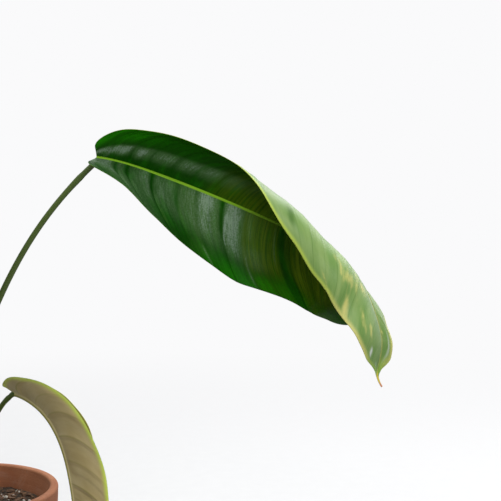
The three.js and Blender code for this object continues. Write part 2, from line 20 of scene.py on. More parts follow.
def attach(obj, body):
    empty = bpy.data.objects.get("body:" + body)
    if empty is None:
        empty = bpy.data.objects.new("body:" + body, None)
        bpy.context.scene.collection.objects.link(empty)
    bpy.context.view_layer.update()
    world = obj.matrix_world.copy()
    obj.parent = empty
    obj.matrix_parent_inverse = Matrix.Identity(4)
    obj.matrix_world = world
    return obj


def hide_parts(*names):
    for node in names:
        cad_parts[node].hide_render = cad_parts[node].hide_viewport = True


for leftover in ("Cube", "Light", "Camera"):
    if leftover in bpy.data.objects:
        bpy.data.objects.remove(bpy.data.objects[leftover])
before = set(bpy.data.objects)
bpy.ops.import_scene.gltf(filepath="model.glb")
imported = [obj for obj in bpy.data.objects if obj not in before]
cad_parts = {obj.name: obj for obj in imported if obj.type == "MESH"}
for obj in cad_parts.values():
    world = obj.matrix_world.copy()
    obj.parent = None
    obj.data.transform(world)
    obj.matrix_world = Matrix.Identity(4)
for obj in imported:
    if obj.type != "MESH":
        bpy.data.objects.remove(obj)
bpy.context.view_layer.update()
MM = 0.001

# %% [markdown]
# ## The camera
#
# The plant is seen from a little above, close to one leaf, through a long lens. A long lens from
# one metre away keeps the leaf's proportions true. The lens follows from how many millimetres
# one pixel covers at the leaf, so the number to change is that one, and not the lens.

# %% Set the camera
LOOK_AT = Vector((236, -20, 330)) * MM
CAMERA_DISTANCE = 1.0
CAMERA_DOWN = math.radians(6)
FRAME_PIXELS = 501
LEAF_PIXEL = 0.8 * MM  # what one pixel covers at the leaf
SENSOR_WIDTH = 36


def add_object(name, data):
    """An object that shows its data, linked to the scene."""
    made = bpy.data.objects.new(name, data)
    bpy.context.scene.collection.objects.link(made)
    return made


camera = add_object("camera", bpy.data.cameras.new("camera"))
camera.data.sensor_width = SENSOR_WIDTH
camera.data.lens = SENSOR_WIDTH * CAMERA_DISTANCE / (LEAF_PIXEL * FRAME_PIXELS)
to_camera = Vector((0, -math.cos(CAMERA_DOWN), math.sin(CAMERA_DOWN)))
camera.location = LOOK_AT + CAMERA_DISTANCE * to_camera
camera.rotation_euler = (math.pi / 2 - CAMERA_DOWN, 0, 0)
bpy.context.scene.camera = camera
print("Lens", round(camera.data.lens, 1), "mm")

# %% [markdown]
# ## Finishes from nodes
#
# Every finish below is a small network of nodes. Building one by hand takes many lines, so this
# helper keeps them short: each call adds one node, fills or links its inputs, and gives back its
# output, ready to be the input of the next. Numbers that are the same all over a surface go
# straight to the shader. The numbers that a mesh carries at its points, such as how far along
# the leaf a point lies, come in by name.

# %% A helper to mix finishes
class Finish:
    """A finish being mixed: each call adds a node or a few, and gives back the last output."""

    def __init__(self, name, kind="Material"):
        homes = {"Material": bpy.data.materials, "World": bpy.data.worlds}
        self.made = homes[kind].new(name)
        self.made.use_nodes = True
        self.tree = self.made.node_tree
        self.tree.nodes.clear()
        self.end = self.tree.nodes.new("ShaderNodeOutput" + kind)

    def add(self, kind, inputs, output=0, **settings):
        node = self.tree.nodes.new("ShaderNode" + kind)
        for key, value in settings.items():
            setattr(node, key, value)
        for socket, value in inputs.items():
            if isinstance(value, bpy.types.NodeSocket):
                self.tree.links.new(value, node.inputs[socket])
            else:
                node.inputs[socket].default_value = value
        return node.outputs[output]

    def attribute(self, name):
        return self.add("Attribute", {}, output=2, attribute_name=name)

    def object_place(self):
        return self.add("TexCoord", {}, output=3)

    def calc(self, operation, first, second=0.0):
        return self.add("Math", {0: first, 1: second}, operation=operation)

    def times(self, first, second):
        return self.calc("MULTIPLY", first, second)

    def remap(self, value, low, high, to_low=0.0, to_high=1.0):
        ends = {0: value, 1: low, 2: high, 3: to_low, 4: to_high}
        return self.add("MapRange", ends, interpolation_type="SMOOTHSTEP")

    def ramp(self, name, low, high, to_low=0.0, to_high=1.0):
        """One of the mesh's numbers, remapped."""
        return self.remap(self.attribute(name), low, high, to_low, to_high)

    def noise(self, where, scale=1.0, detail=3.0, roughness=0.5, distortion=0.0):
        inputs = {"Vector": where, "Scale": scale, "Detail": detail, "Roughness": roughness}
        return self.add("TexNoise", {**inputs, "Distortion": distortion})

    def drawn_noise(self, detail=3.0, **rates):
        """Noise that follows the piece, with its change per unit of some of the mesh's numbers."""
        place = [self.times(self.attribute(name), rate) for name, rate in rates.items()]
        return self.noise(self.add("CombineXYZ", dict(enumerate(place))), detail=detail)

    def blend(self, share, first, second):
        return self.add("Mix", {0: share, 6: first, 7: second}, output=2, data_type="RGBA")

    def bump(self, height, distance):
        return self.add("Bump", {"Height": height, "Distance": distance})

    def surface(self, **inputs):
        named = {key.replace("_", " "): value for key, value in inputs.items()}
        return self.add("BsdfPrincipled", named)

    def finish(self, shader):
        self.tree.links.new(shader, self.end.inputs["Surface"])
        return self.made

    def finish_thin(self, skin, share, tint):
        """Ends a finish that lets a share of the light through, with a tint."""
        glow = self.add("BsdfTranslucent", {"Color": tint})
        return self.finish(self.add("MixShader", {0: share, 1: skin, 2: glow}))


print("A finish can be mixed with", sum(not key.startswith("_") for key in vars(Finish)), "calls")

# %% A helper for colours
def colour(red, green, blue):
    """A colour for a shader from its 0 to 255 display values."""
    shares = [value / 255 for value in (red, green, blue)]
    linear = [s / 12.92 if s <= 0.04045 else ((s + 0.055) / 1.055) ** 2.4 for s in shares]
    return (*linear, 1.0)


print("A mid grey is", round(colour(128, 128, 128)[0], 3), "in linear light")

# %% [markdown]
# ## The world
#
# The set is a near-white photo studio. What the glossy leaves mirror matters more than what
# lights them: a leaf looks deep green where it mirrors something dim. A photographer hangs grey
# cloth just outside the picture for that. Here the world is near white to the camera, and gives
# the plant less light from the front than from behind.

# %% Make the world
BACKDROP = colour(250, 250, 251)
DAYLIGHT = colour(250, 252, 255)
WORLD_FRONT = 0.18
WORLD_BACK = 0.85

studio = Finish("studio", "World")
depth = studio.add("SeparateXYZ", {0: studio.add("TexCoord", {})}, output=1)
front_to_back = studio.add("MapRange", {0: depth, 1: -0.6, 2: 0.5, 3: WORLD_FRONT, 4: WORLD_BACK})
lighting = studio.add("Background", {"Color": DAYLIGHT, "Strength": front_to_back})
seen = studio.add("Background", {"Color": BACKDROP})
either = studio.add("MixShader", {0: studio.add("LightPath", {}), 1: lighting, 2: seen})
bpy.context.scene.world = studio.finish(either)
bpy.context.scene.view_settings.view_transform = "Standard"
print("World from", WORLD_FRONT, "in front to", WORLD_BACK, "behind")

# %% [markdown]
# ## The floor
#
# The floor is a round sheet of pale card. It turns into the colour of the world towards its rim,
# so no horizon shows from any side. A square floor would show its corners from above. Like the
# world it is brighter to the camera than to the leaves, which would mirror it from below.

# %% Make the floor
FLOOR_RADIUS = 1.5
FLOOR_PLAIN = 0.3  # inside this radius the floor shows only its own colour


def make_floor():
    plan = bmesh.new()
    bmesh.ops.create_circle(plan, cap_ends=True, segments=96, radius=FLOOR_RADIUS)
    mesh = bpy.data.meshes.new("floor")
    plan.to_mesh(mesh)
    plan.free()
    floor = add_object("floor", mesh)
    return floor


def floor_finish():
    f = Finish("pale_floor")
    where = f.object_place()
    away = f.add("VectorMath", {0: where}, output=1, operation="LENGTH")
    seen = f.add("LightPath", {})
    grain = f.noise(where, scale=60, detail=4)
    card = f.blend(grain, colour(212, 212, 212), colour(217, 217, 217))
    tint = f.blend(seen, colour(140, 141, 142), card)
    surface = f.surface(Base_Color=tint, Roughness=0.8)
    glow = f.add("Emission", {"Color": BACKDROP, "Strength": f.remap(seen, 0, 1, 0.25, 1)})
    fade = f.remap(away, FLOOR_PLAIN, 0.9 * FLOOR_RADIUS)
    return f.finish(f.add("MixShader", {0: fade, 1: surface, 2: glow}))


floor = make_floor()
floor.data.materials.append(floor_finish())
print("Floor radius", FLOOR_RADIUS, "m")

# %% [markdown]
# ## The lamps
#
# Four soft boxes light the plant, each a rectangle that glows. The key stands low in front on the
# right, where the large leaf mirrors it as a broad satin sheen, to which a grey sheen painted
# into the leaf's colour adds. The others fill from the left, from above and from behind. Small
# lamps would draw hard white spots on a waxy leaf.

# %% Hang the lamps
def soft_box(name, place, aim, width, height, watts):
    lamp = add_object(name, bpy.data.lights.new(name, "AREA"))
    lamp.data.shape = "RECTANGLE"
    lamp.data.size = width
    lamp.data.size_y = height
    lamp.data.energy = watts
    lamp.visible_camera = False
    lamp.location = place
    lamp.rotation_euler = (Vector(aim) - Vector(place)).to_track_quat("-Z", "Y").to_euler()


soft_box("key", (1.06, -1.43, 0.74), (0.24, 0, 0.33), 1.3, 1.0, 17)
soft_box("front", (-0.3, -1.3, 1.7), (0.2, 0, 0.35), 1.0, 0.7, 14)
soft_box("top", (0.3, 0.5, 2.2), (0.1, 0, 0.3), 1.8, 1.8, 28)
soft_box("rim", (1.35, 0.93, 1.0), (0.24, 0, 0.33), 1.0, 1.0, 9)
print("Four soft boxes")

# %% [markdown]
# ## Smooth curves through keys
#
# The shape of a leaf is given by keys: a few pairs of a place along the midrib and a value. This
# curve passes through them without overshooting, so a leaf that is meant to be flat stays flat
# between two equal keys. All places are worked out at once, as an array.

# %% A smooth curve through keys
def smooth_keys(keys, place):
    """The value at each place of a smooth curve through keys, level past its ends."""
    x, y = np.array(keys, float).T
    rises = np.diff(y) / np.diff(x)
    before, after = rises[:-1], rises[1:]
    same_way = before * after > 0
    total = np.where(same_way, before + after, 1)
    inner = np.where(same_way, 2 * before * after / total, 0)
    slopes = np.concatenate([rises[:1], inner, rises[-1:]])
    place = np.clip(place, x[0], x[-1])
    i = np.clip(np.searchsorted(x, place, side="right") - 1, 0, len(x) - 2)
    step = x[i + 1] - x[i]
    u = (place - x[i]) / step
    v = 1 - u
    return (v * v * (1 + 2 * u) * y[i] + u * v * v * step * slopes[i]
            + u * u * (1 + 2 * v) * y[i + 1] - u * u * v * step * slopes[i + 1])


def smooth_step(value, low, high):
    share = np.clip((value - low) / (high - low), 0, 1)
    return share * share * (3 - 2 * share)


print("Halfway between keys 0 and 1:", float(smooth_keys([[0, 0], [1, 1]], 0.5)))

# %% [markdown]
# ## From points to a piece
#
# Every visible piece is a mesh from points and faces. Its points carry named numbers, which the
# finishes read. A piece then rides on the plant's one body and takes the place of its solid,
# which stays as the hidden real thing.

# %% Helpers to build and place a piece
def new_piece(name, points, faces, **numbers):
    """A smooth mesh object from points in millimetres, with named numbers at every point."""
    mesh = bpy.data.meshes.new(name)
    mesh.from_pydata((points * MM).tolist(), [], faces)
    for key, values in numbers.items():
        layer = mesh.attributes.new(key, "FLOAT", "POINT")
        layer.data.foreach_set("value", np.asarray(values, np.float32).ravel())
    mesh.polygons.foreach_set("use_smooth", [True] * len(mesh.polygons))
    mesh.update()
    return add_object(name, mesh)


def settle(piece, node, slot, *finishes):
    """Gives a piece its finishes and lets it stand for its solid."""
    for finish in finishes:
        piece.data.materials.append(finish)
    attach(piece, "root")
    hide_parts(node)
    print(piece.name, "has", len(piece.data.polygons), "faces")


def quads(a, b, c, d):
    """Faces with four corners from four grids of point numbers."""
    return np.stack([a.ravel(), b.ravel(), c.ravel(), d.ravel()], axis=-1).tolist()


def heading(pitch, yaw):
    """Unit directions with a pitch above the level and a yaw about the vertical, in radians."""
    level = np.cos(pitch)
    return np.stack([level * np.cos(yaw), level * np.sin(yaw), np.sin(pitch)], axis=-1)


print("A heading of pitch 0 and yaw 0 points to", heading(0.0, 0.0))

# %% [markdown]
# ## The stem's line
#
# The leaves hang from the stem, so its line comes before them. It leaves the soil at the pot's
# centre and sways a few millimetres as it climbs. It is short and straight enough that two sine
# waves, eased in from the soil up, describe it.

# %% The line of the stem
SOIL_LEVEL = 112
STEM = dict(foot=66, top=262, radius=6, top_radius=4.6, sway=3, node_swell=1)


def stem_centre(height):
    height = np.asarray(height, float)
    rise = np.maximum(0, height - SOIL_LEVEL)
    ease = STEM["sway"] * np.minimum(1, rise / 30)
    x = ease * np.sin(rise / 26)
    y = 0.8 * ease * np.sin(rise / 19 + 1)
    return np.stack([x, y, height], axis=-1)


print("Top of the stem at", stem_centre(STEM["top"]).round(1), "mm")

# %% [markdown]
# ## A plain leaf, as a botanist would describe it
#
# Each blade is a long sheet on a midrib. The midrib is headed by pitch and yaw, and roll turns
# the blade about it, all in degrees. The rest is given for each half. First its width, and the
# fold that it makes with the midrib. It stays flat to the onset, and then curls, in degrees per
# millimetre, as far as its reach. Lead says how far a row runs ahead of its place by the margin.
# Further keys say where a grey sheen is painted on the skin, where it is tan-brown, and where
# bright green is painted for light shining through. The keys of a plain leaf are the same for
# both halves, so a helper writes them twice.

# %% Describe a plain leaf
OUTLINE = [[0, 0.35], [0.05, 0.64], [0.12, 0.83], [0.25, 0.97], [0.4, 1], [0.6, 0.94],
           [0.75, 0.78], [0.87, 0.5], [0.95, 0.2], [0.98, 0.05], [1, 0.02]]
LEVEL = [[0, 0], [1, 0]]
NO_END = 1000  # mm, far beyond any margin


def both_halves(**keys):
    """The same keys for the left and the right half of a blade."""
    return {key + side: value for key, value in keys.items() for side in ("_left", "_right")}


PLAIN = dict(
    left=OUTLINE, right=OUTLINE, onset_left=LEVEL, reach_right=[[0, NO_END], [1, NO_END]],
    yaw=LEVEL, roll=LEVEL, tuck=[0, 0, 0], wave=2.2, waves=5, wave_phase=0, calm=[[0, 1], [1, 1]],
    veins=13, sweep=0.05, marks=[],
    **both_halves(
        fold=[[0, 30], [0.2, 22], [0.6, 14], [1, 8]],
        curl=[[0, -0.2], [0.3, -0.5], [1, -0.6]],
        lead=[[0, -0.05], [0.08, 0.01], [0.3, 0.05], [0.6, 0.06], [0.85, 0.03], [1, 0]],
        lobe=0.45, round=0.05, wax=[[0, 0.3], [1, 0.3]],
        wax_out=[[0, 0.4], [0.3, 1], [0.6, 0.7], [1, 0.1]],
        tan=[[0, 0], [1, 0.2]], fresh=[[0, 0.35], [1, 0.35]]))
print("A plain leaf is described by", len(PLAIN), "keys and numbers")

# %% [markdown]
# ## The large leaf
#
# The large leaf rolls over on itself. Its midrib first runs level with the blade on edge, then
# dives, and its left half curls far more than any other, so the pale underside shows. Its side
# veins are listed one by one: some are drawn far deeper than others, and these catch the light.
# Keys make this easy to fit, since moving one bends only the part of the leaf beside it.

# %% Describe the large leaf
LARGE = dict(
    name="leaf_5", node=212, azimuth=0, base=[114.5, -10, 192], leave=70, arrive=42, stalk=0.9,
    tuck=[5, 3.5, -1.5], length=335, half_width=52, wave=0.5, waves=6,
    pitch=[[0, -8], [0.1, -18], [0.2, -21], [0.35, -23.5], [0.48, -25.5], [0.58, -31],
           [0.68, -45], [0.76, -64], [0.86, -78], [0.9, -95], [0.94, -102], [0.965, -85],
           [1, -55]],
    yaw=[[0, 0], [0.3, 6], [0.5, 12], [0.65, 5], [0.8, -15], [1, -10]],
    roll=[[0, 88], [0.3, 91], [0.43, 103], [0.55, 126], [0.65, 146], [0.75, 162],
          [0.83, 171], [0.9, 184], [1, 200]],
    left=[[0, 0.42], [0.05, 0.6], [0.15, 0.81], [0.3, 0.95], [0.42, 1.13], [0.52, 1.08],
          [0.62, 1.02], [0.72, 0.86], [0.82, 0.69], [0.9, 0.44], [0.95, 0.08],
          [0.975, 0.03], [1, 0.01]],
    right=[[0, 0.4], [0.04, 0.5], [0.1, 0.69], [0.16, 0.75], [0.3, 1], [0.45, 1.2],
           [0.56, 1.09], [0.64, 1.28], [0.7, 1.06], [0.74, 0.7], [0.78, 0.385],
           [0.83, 0.23], [0.88, 0.22], [0.92, 0.075], [0.95, 0.02], [1, 0.01]],
    fold_left=[[0, 25], [0.2, 28], [0.35, 20], [0.5, 5], [1, 0]],
    fold_right=[[0, 65], [0.08, 60], [0.18, 30], [0.3, 5], [0.6, -2.5], [0.68, -9],
                [0.74, -21], [0.8, -39], [0.86, -46], [0.92, -40], [1, -20]],
    curl_left=[[0, 1], [0.2, 1.5], [0.35, 2.9], [0.45, 3.3], [0.6, 2.8], [0.75, 2.2],
               [0.85, 1.5], [1, 1]],
    curl_right=[[0, 0.2], [0.3, 0.3], [0.5, 2.17], [0.64, 2.86], [0.7, 3.25], [0.75, 3.4],
                [0.8, 3.16], [0.85, 2.97], [0.9, -0.2], [1, 0]],
    onset_left=[[0, 16], [0.25, 20], [0.5, 6], [0.6, 0], [1, 0]],
    reach_right=[[0, 60], [0.47, 0], [0.7, 22.7], [0.8, 35], [1, 30]],
    lead_left=[[0, -0.006], [0.08, 0.01], [0.3, 0.05], [0.6, 0.06], [0.85, 0.03], [1, 0]],
    lead_right=[[0, -0.015], [0.08, 0], [0.3, 0.05], [0.5, 0.075], [0.65, 0.167],
                [0.8, 0.047], [0.9, 0.041], [1, 0]],
    lobe_left=0.45, lobe_right=0.5, round_left=0.07, round_right=0.06,
    sweep=0.065, calm=[[0, 1], [0.26, 1], [0.38, 0.3], [1, 0.12]],
    veins_left=[0.03, 0.075, 0.12, 0.175, 0.23, 0.285, 0.345, 0.41, 0.47, 0.53, 0.585,
                0.64, 0.7, 0.76, 0.82, 0.88, 0.94],
    depths_left=[0.3, 0.5, 0.3, 0.4, 0.3, 0.5, 0.4, 0.5, 0.9, 0.5, 0.8, 0.6, 0.9, 0.5, 0.7,
                 0.5, 0.3],
    veins_right=[0.048, 0.078, 0.14, 0.205, 0.255, 0.322, 0.39, 0.427, 0.47, 0.513, 0.57,
                 0.63, 0.69, 0.75, 0.81, 0.87, 0.93],
    depths_right=[0.6, 0.7, 1, 0.45, 0.3, 0.8, 0.15, 0.15, 0.15, 1, 0.3, 0.5, 0.4, 0.5, 0.4,
                  0.4, 0.3],
    # Where a grey sheen is painted on the left half: along the midrib, then out across it.
    wax_left=[[0, 1.2], [0.06, 1.1], [0.12, 0.75], [0.25, 0.72], [0.33, 0.36], [0.42, 0],
              [1, 0]],
    wax_out_left=[[0, 0], [0.17, 0.06], [0.27, 0.5], [0.37, 1], [0.45, 0.75], [0.54, 0.04],
                  [1, 0]],
    # Where bright green is painted for light shining through, near the margin.
    fresh_left=[[0, 1.3], [0.08, 1.1], [0.16, 0.4], [0.3, 0.15], [1, 0]],
    fresh_right=[[0, 0], [0.22, 0], [0.32, 0.6], [0.44, 1.25], [0.56, 0.6], [1, 0.2]],
    # Where a grey sheen is painted on the right half: along the midrib, then out across it.
    wax_right=[[0, 0.95], [0.04, 0.9], [0.065, 0.5], [0.1, 0.4], [0.13, 0.75], [0.15, 0.45],
               [0.2, 0.4], [0.22, 0.4], [0.25, 0.7], [0.27, 0.95], [0.31, 0.55], [0.33, 1],
               [0.36, 0.9], [0.39, 0.25], [0.5, 0.02], [1, 0]],
    wax_out_right=[[0, 0.8], [0.08, 1], [0.45, 0.9], [0.62, 0.6], [0.78, 0.16], [1, 0]],
    tan_left=[[0, 0], [0.24, 0], [0.33, 0.5], [0.45, 0.8], [1, 0.8]],
    tan_right=[[0, 0], [0.36, 0], [0.4, 0.7], [0.5, 0.75], [0.65, 0.9], [1, 0.9]])
print("The large leaf has", len(LARGE["veins_left"]), "side veins on a half")

# %% [markdown]
# ## Marks on the large leaf
#
# No leaf is evenly coloured. Here a grey sheen is painted in streaks between the veins, old tissue
# yellows in patches, and a few pale spots are painted highlights. Painting them by hand would tie
# them to one mesh.
# So each mark is a soft spot in the leaf's own coordinates: places are shares of the midrib's
# length and of the way out to the margin. A negative strength takes away.

# %% List the marks
# Kind, on the left half, place along, share out, lean, length, width and strength.
MARKS = [
    # Painted sheen in streaks, and a painted highlight line beside a deep vein.
    ("wax", False, 0.332, 0.35, -0.03, 0.0035, 0.25, 0.8),
    ("wax", False, 0.355, 0.3, -0.02, 0.012, 0.3, 0.35),
    ("wax", False, 0.285, 0.1, 0, 0.018, 0.15, 0.35),
    ("wax", False, 0.18, 0.4, 0, 0.07, 0.3, 0.15),
    ("wax", True, 0.03, 0.3, 0.06, 0.006, 0.2, 0.5),
    ("wax", True, 0.06, 0.36, 0.05, 0.007, 0.16, 0.4),
    ("wax", True, 0.095, 0.32, 0.04, 0.006, 0.14, 0.35),
    ("wax", False, 0.415, 0.6, 0, 0.022, 0.14, 0.3),
    ("wax", False, 0.4, 0.2, 0.02, 0.005, 0.18, 0.25),
    ("wax", False, 0.471, 0.3, 0.012, 0.003, 0.28, 0.5),
    ("wax", False, 0.386, 0.78, 0, 0.003, 0.2, 0.7),
    ("wax", False, 0.2465, 0.9, 0, 0.003, 0.09, 0.7),
    ("wax", False, 0.06, 0.9, 0, 0.06, 0.3, 0.45),
    ("wax", False, 0.495, 0.5, 0.02, 0.013, 0.6, -1),
    ("age", False, 0.495, 0.5, 0.02, 0.012, 0.6, -1),
    ("age", False, 0.55, 0.5, 0, 0.035, 0.6, 0.4),
    ("moss", True, 0.395, 0.76, -0.1, 0.012, 0.1, 1.1),
    # Painted highlights: pale sheen along the ridge of the roll and glints near the tip.
    ("frost", True, 0.39, 0.62, -0.39, 0.035, 0.35, 0.3),
    ("frost", True, 0.857, 0.75, 0, 0.008, 0.08, 1),
    ("frost", True, 0.913, 0.65, 0, 0.004, 0.09, 0.5),
    ("frost", False, 0.86, 0.6, 0, 0.03, 0.08, 0.5),
    ("yellow", True, 0.61, 0.6, 0, 0.03, 0.1, 0.6),
    ("yellow", True, 0.69, 0.45, -0.2, 0.04, 0.2, 0.75),
    ("yellow", True, 0.67, 0.85, 0.1, 0.022, 0.13, 0.95),
    ("yellow", True, 0.77, 0.67, 0.1, 0.016, 0.1, 0.9),
    ("yellow", True, 0.81, 0.57, 0.1, 0.014, 0.08, 0.8),
    ("yellow", True, 0.535, 0.94, 0.25, 0.006, 0.07, 0.8),
    ("yellow", False, 0.857, 0.12, 0, 0.007, 0.14, 0.9),
]
print(len(MARKS), "marks")

# %% [markdown]
# ## All the leaves
#
# The leaves climb the stem in turn, from a small one near the soil to the large ones higher up.
# For each we give its height on the stem and the side that it faces, where its blade starts, how
# its stalk leaves the stem and arrives at the blade, and its keys where they aren't plain.

# %% List the leaves
LEAVES = [
    dict(name="leaf_1", node=132, azimuth=190, base=[60, 0, 40], leave=30, arrive=30, stalk=0.62,
         length=140, half_width=27, wave=1.2, waves=4,
         pitch=[[0, 14], [0.3, -6], [0.6, -32], [1, -58]], roll=[[0, 8], [1, -6]]),
    dict(name="leaf_2", node=150, azimuth=-36, base=[56, 0, 66], leave=46, arrive=32, stalk=0.82,
         length=215, half_width=38, wave=1, waves=5, wave_phase=1,
         pitch=[[0, -6], [0.12, -28], [0.25, -56], [0.4, -76], [0.6, -84], [1, -88]],
         yaw=[[0, 0], [1, 4]], roll=[[0, -14], [0.3, -36], [1, -42]],
         fold_left=[[0, 30], [0.4, 30], [1, 20]], fold_right=[[0, 34], [0.4, 36], [1, 24]],
         curl_left=[[0, 0.1], [1, 0.2]], curl_right=[[0, 0.3], [0.4, 0.8], [1, 0.4]]),
    dict(name="leaf_3", node=170, azimuth=112, base=[86, 0, 116], leave=58, arrive=38, stalk=0.9,
         length=265, half_width=45, wave_phase=2,
         pitch=[[0, 2], [0.2, -26], [0.5, -62], [0.8, -80], [1, -84]],
         roll=[[0, -6], [0.6, 12], [1, 20]]),
    dict(name="leaf_4", node=190, azimuth=235, base=[98, 0, 100], leave=56, arrive=30, stalk=0.9,
         length=250, half_width=43, wave_phase=3.4,
         pitch=[[0, -4], [0.2, -32], [0.5, -64], [0.8, -80], [1, -84]],
         yaw=[[0, 0], [1, -14]], roll=[[0, 6], [0.6, -10], [1, -16]]),
    {**LARGE, "marks": MARKS},
    dict(name="leaf_6", node=232, azimuth=150, base=[112, 0, 150], leave=68, arrive=36, stalk=1,
         length=300, half_width=49, wave_phase=5,
         pitch=[[0, 10], [0.2, -14], [0.5, -50], [0.8, -75], [1, -84]],
         yaw=[[0, 0], [1, 10]], roll=[[0, -8], [0.5, -14], [1, 10]]),
    dict(name="leaf_7", node=250, azimuth=268, base=[84, 0, 150], leave=74, arrive=46, stalk=0.95,
         length=285, half_width=46, wave_phase=0.6,
         pitch=[[0, 24], [0.25, -4], [0.5, -38], [0.8, -70], [1, -80]],
         yaw=[[0, 0], [1, -8]], roll=[[0, 6], [0.5, 14], [1, 4]]),
]
LEAVES = [{**PLAIN, **leaf} for leaf in LEAVES]
print(len(LEAVES), "leaves,", min(leaf["length"] for leaf in LEAVES), "to",
      max(leaf["length"] for leaf in LEAVES), "mm long")

# %% [markdown]
# ## The midrib
#
# The midrib is walked in small steps along its heading, carrying a frame with it: the way ahead,
# the way to the left half and the way up from the blade. A curve object could draw the line, but
# it wouldn't give the frame at every place, and the sheet hangs on that.

# %% Walk the midrib
RIB_STEPS = 400
LEAST_HALF_WIDTH = 0.9


def midrib_of(leaf):
    t = np.linspace(0, 1, RIB_STEPS + 1)
    pitch, yaw, roll = (np.radians(smooth_keys(leaf[key], t)) for key in ("pitch", "yaw", "roll"))
    along = heading(pitch, yaw)
    side = heading(0 * yaw, yaw + math.pi / 2)
    over = np.cross(along, side)
    turn, lift = np.cos(roll)[:, None], np.sin(roll)[:, None]
    travel = (along[1:] + along[:-1]) / 2 * leaf["length"] / RIB_STEPS
    point = np.vstack([np.zeros(3), np.cumsum(travel, axis=0)]) + leaf["base"]
    return t, dict(point=point, along=along, left=side * turn + over * lift,
                   top=over * turn - side * lift)


def at_place(midrib, key, place):
    t, frames = midrib
    return np.stack([np.interp(place, t, frames[key][:, axis]) for axis in range(3)], axis=-1)


def half_width(leaf, row, is_left):
    """The half width of each side at each row, with its basal lobe rounded."""
    def one_side(side):
        fill = np.sqrt(np.clip(1 - (1 - np.minimum(row / leaf["round_" + side], 1)) ** 2, 0, 1))
        lobe = leaf["lobe_" + side]
        return smooth_keys(leaf[side], row) * (lobe + (1 - lobe) * fill)

    share = np.where(is_left, one_side("left"), one_side("right"))
    return np.maximum(share * leaf["half_width"], LEAST_HALF_WIDTH)


hero = next(leaf for leaf in LEAVES if leaf["name"] == "leaf_5")
rib_end = at_place(midrib_of(hero), "point", 1.0)
print("The large leaf's tip is", rib_end.round(), "mm from its joint on the stem")

# %% [markdown]
# ## The sheet
#
# A real blade unrolls flat, so its surface bends but hardly stretches. We copy that: each point
# of the sheet is reached by going out from the midrib, first straight at the fold and then round
# the arc of the curl. Rows run along the side veins, which lean towards the tip.

# %% Lay the sheet
LEAD_POWER = 1.3
LEAST_CURL = 1e-6  # keeps an arc's radius finite where the sheet is flat


def of_half(leaf, key, is_left, place):
    """The value at each place of the keys for the half that it lies on."""
    return np.where(is_left, smooth_keys(leaf[key + "_left"], place),
                    smooth_keys(leaf[key + "_right"], place))


def sheet_points(leaf, midrib, row, out, is_left, lift):
    """Points of the sheet at each row, out from the midrib by out, and lifted off the sheet."""
    share = out / half_width(leaf, row, is_left)
    t = row + of_half(leaf, "lead", is_left, row) * share ** LEAD_POWER
    inside = np.clip(t, 0, 1)
    fold = np.radians(of_half(leaf, "fold", is_left, inside))
    curl = np.radians(of_half(leaf, "curl", is_left, inside))
    curl = np.where(np.abs(curl) < LEAST_CURL, LEAST_CURL, curl)
    onset = np.where(is_left, smooth_keys(leaf["onset_left"], inside), 0)
    reach = np.where(is_left, NO_END, smooth_keys(leaf["reach_right"], inside))
    flat = np.minimum(out, onset)
    arc = np.clip(out - onset, 0, reach - onset)
    rest = np.maximum(out - reach, 0)
    end = fold + curl * arc
    across = flat * np.cos(fold) + (np.sin(end) - np.sin(fold)) / curl + rest * np.cos(end)
    rise = flat * np.sin(fold) + (np.cos(fold) - np.cos(end)) / curl + rest * np.sin(end)
    across = (across - np.sin(end) * lift) * np.where(is_left, 1, -1)
    rise = rise + np.cos(end) * lift
    return (at_place(midrib, "point", inside)
            + at_place(midrib, "along", inside) * ((t - inside) * leaf["length"])[..., None]
            + at_place(midrib, "left", inside) * across[..., None]
            + at_place(midrib, "top", inside) * rise[..., None])

# %% [markdown]
# ## Veins, panels and waves
#
# The side veins of this plant are sunk into the blade, and the panels between them rise like the
# ribs of corduroy. The spacing is never even, and some veins are drawn far deeper than others.
# The margin ripples. All three are heights off the sheet, worked out by formulas from a vein
# count that runs from the base to the tip, so the finish can use the same count later.

# %% Count the veins
def vein_plan(leaf):
    """Where each side vein leaves the midrib, and how deep it is drawn, for each half."""
    spin = np.random.default_rng(leaf["node"])
    count = leaf["veins"]
    plan = {}
    for side in ("left", "right"):
        even = (np.arange(count) + 0.5) / count
        places = even + spin.uniform(-0.22, 0.22, count) / count
        depths = spin.uniform(0.3, 1.0, count)
        plan[side] = (leaf.get("veins_" + side, places), leaf.get("depths_" + side, depths))
    return plan


def home_row(leaf, row, out, is_left):
    """Where the side vein through each point left the midrib: veins sweep to the tip."""
    return row - leaf["sweep"] * (out / half_width(leaf, row, is_left)) ** 3


def vein_numbers(leaf, home, is_left):
    """A count that is whole at each vein, mm past the nearest one, and that one's depth."""
    def one_side(places, depths):
        ends = [2 * places[0] - places[1], *places, 2 * places[-1] - places[-2]]
        count = np.interp(home, ends, np.arange(len(ends)))
        past = home[..., None] - np.asarray(places)
        nearest = np.abs(past).argmin(axis=-1)
        past = np.take_along_axis(past, nearest[..., None], axis=-1)[..., 0]
        return count, past * leaf["length"], np.asarray(depths)[nearest]

    plan = vein_plan(leaf)
    both = zip(one_side(*plan["left"]), one_side(*plan["right"]))
    return [np.where(is_left, left, right) for left, right in both]


print("The first leaf's vein places:", np.round(vein_plan(LEAVES[0])["left"][0], 2))

# %% Work out the relief
PANEL = dict(height=0.55, reach=5)
GROOVE = dict(depth=0.55, reach=1.5)
LIP = dict(height=0.5, place=3.4, reach=1.4)  # the raised edge beside a vein


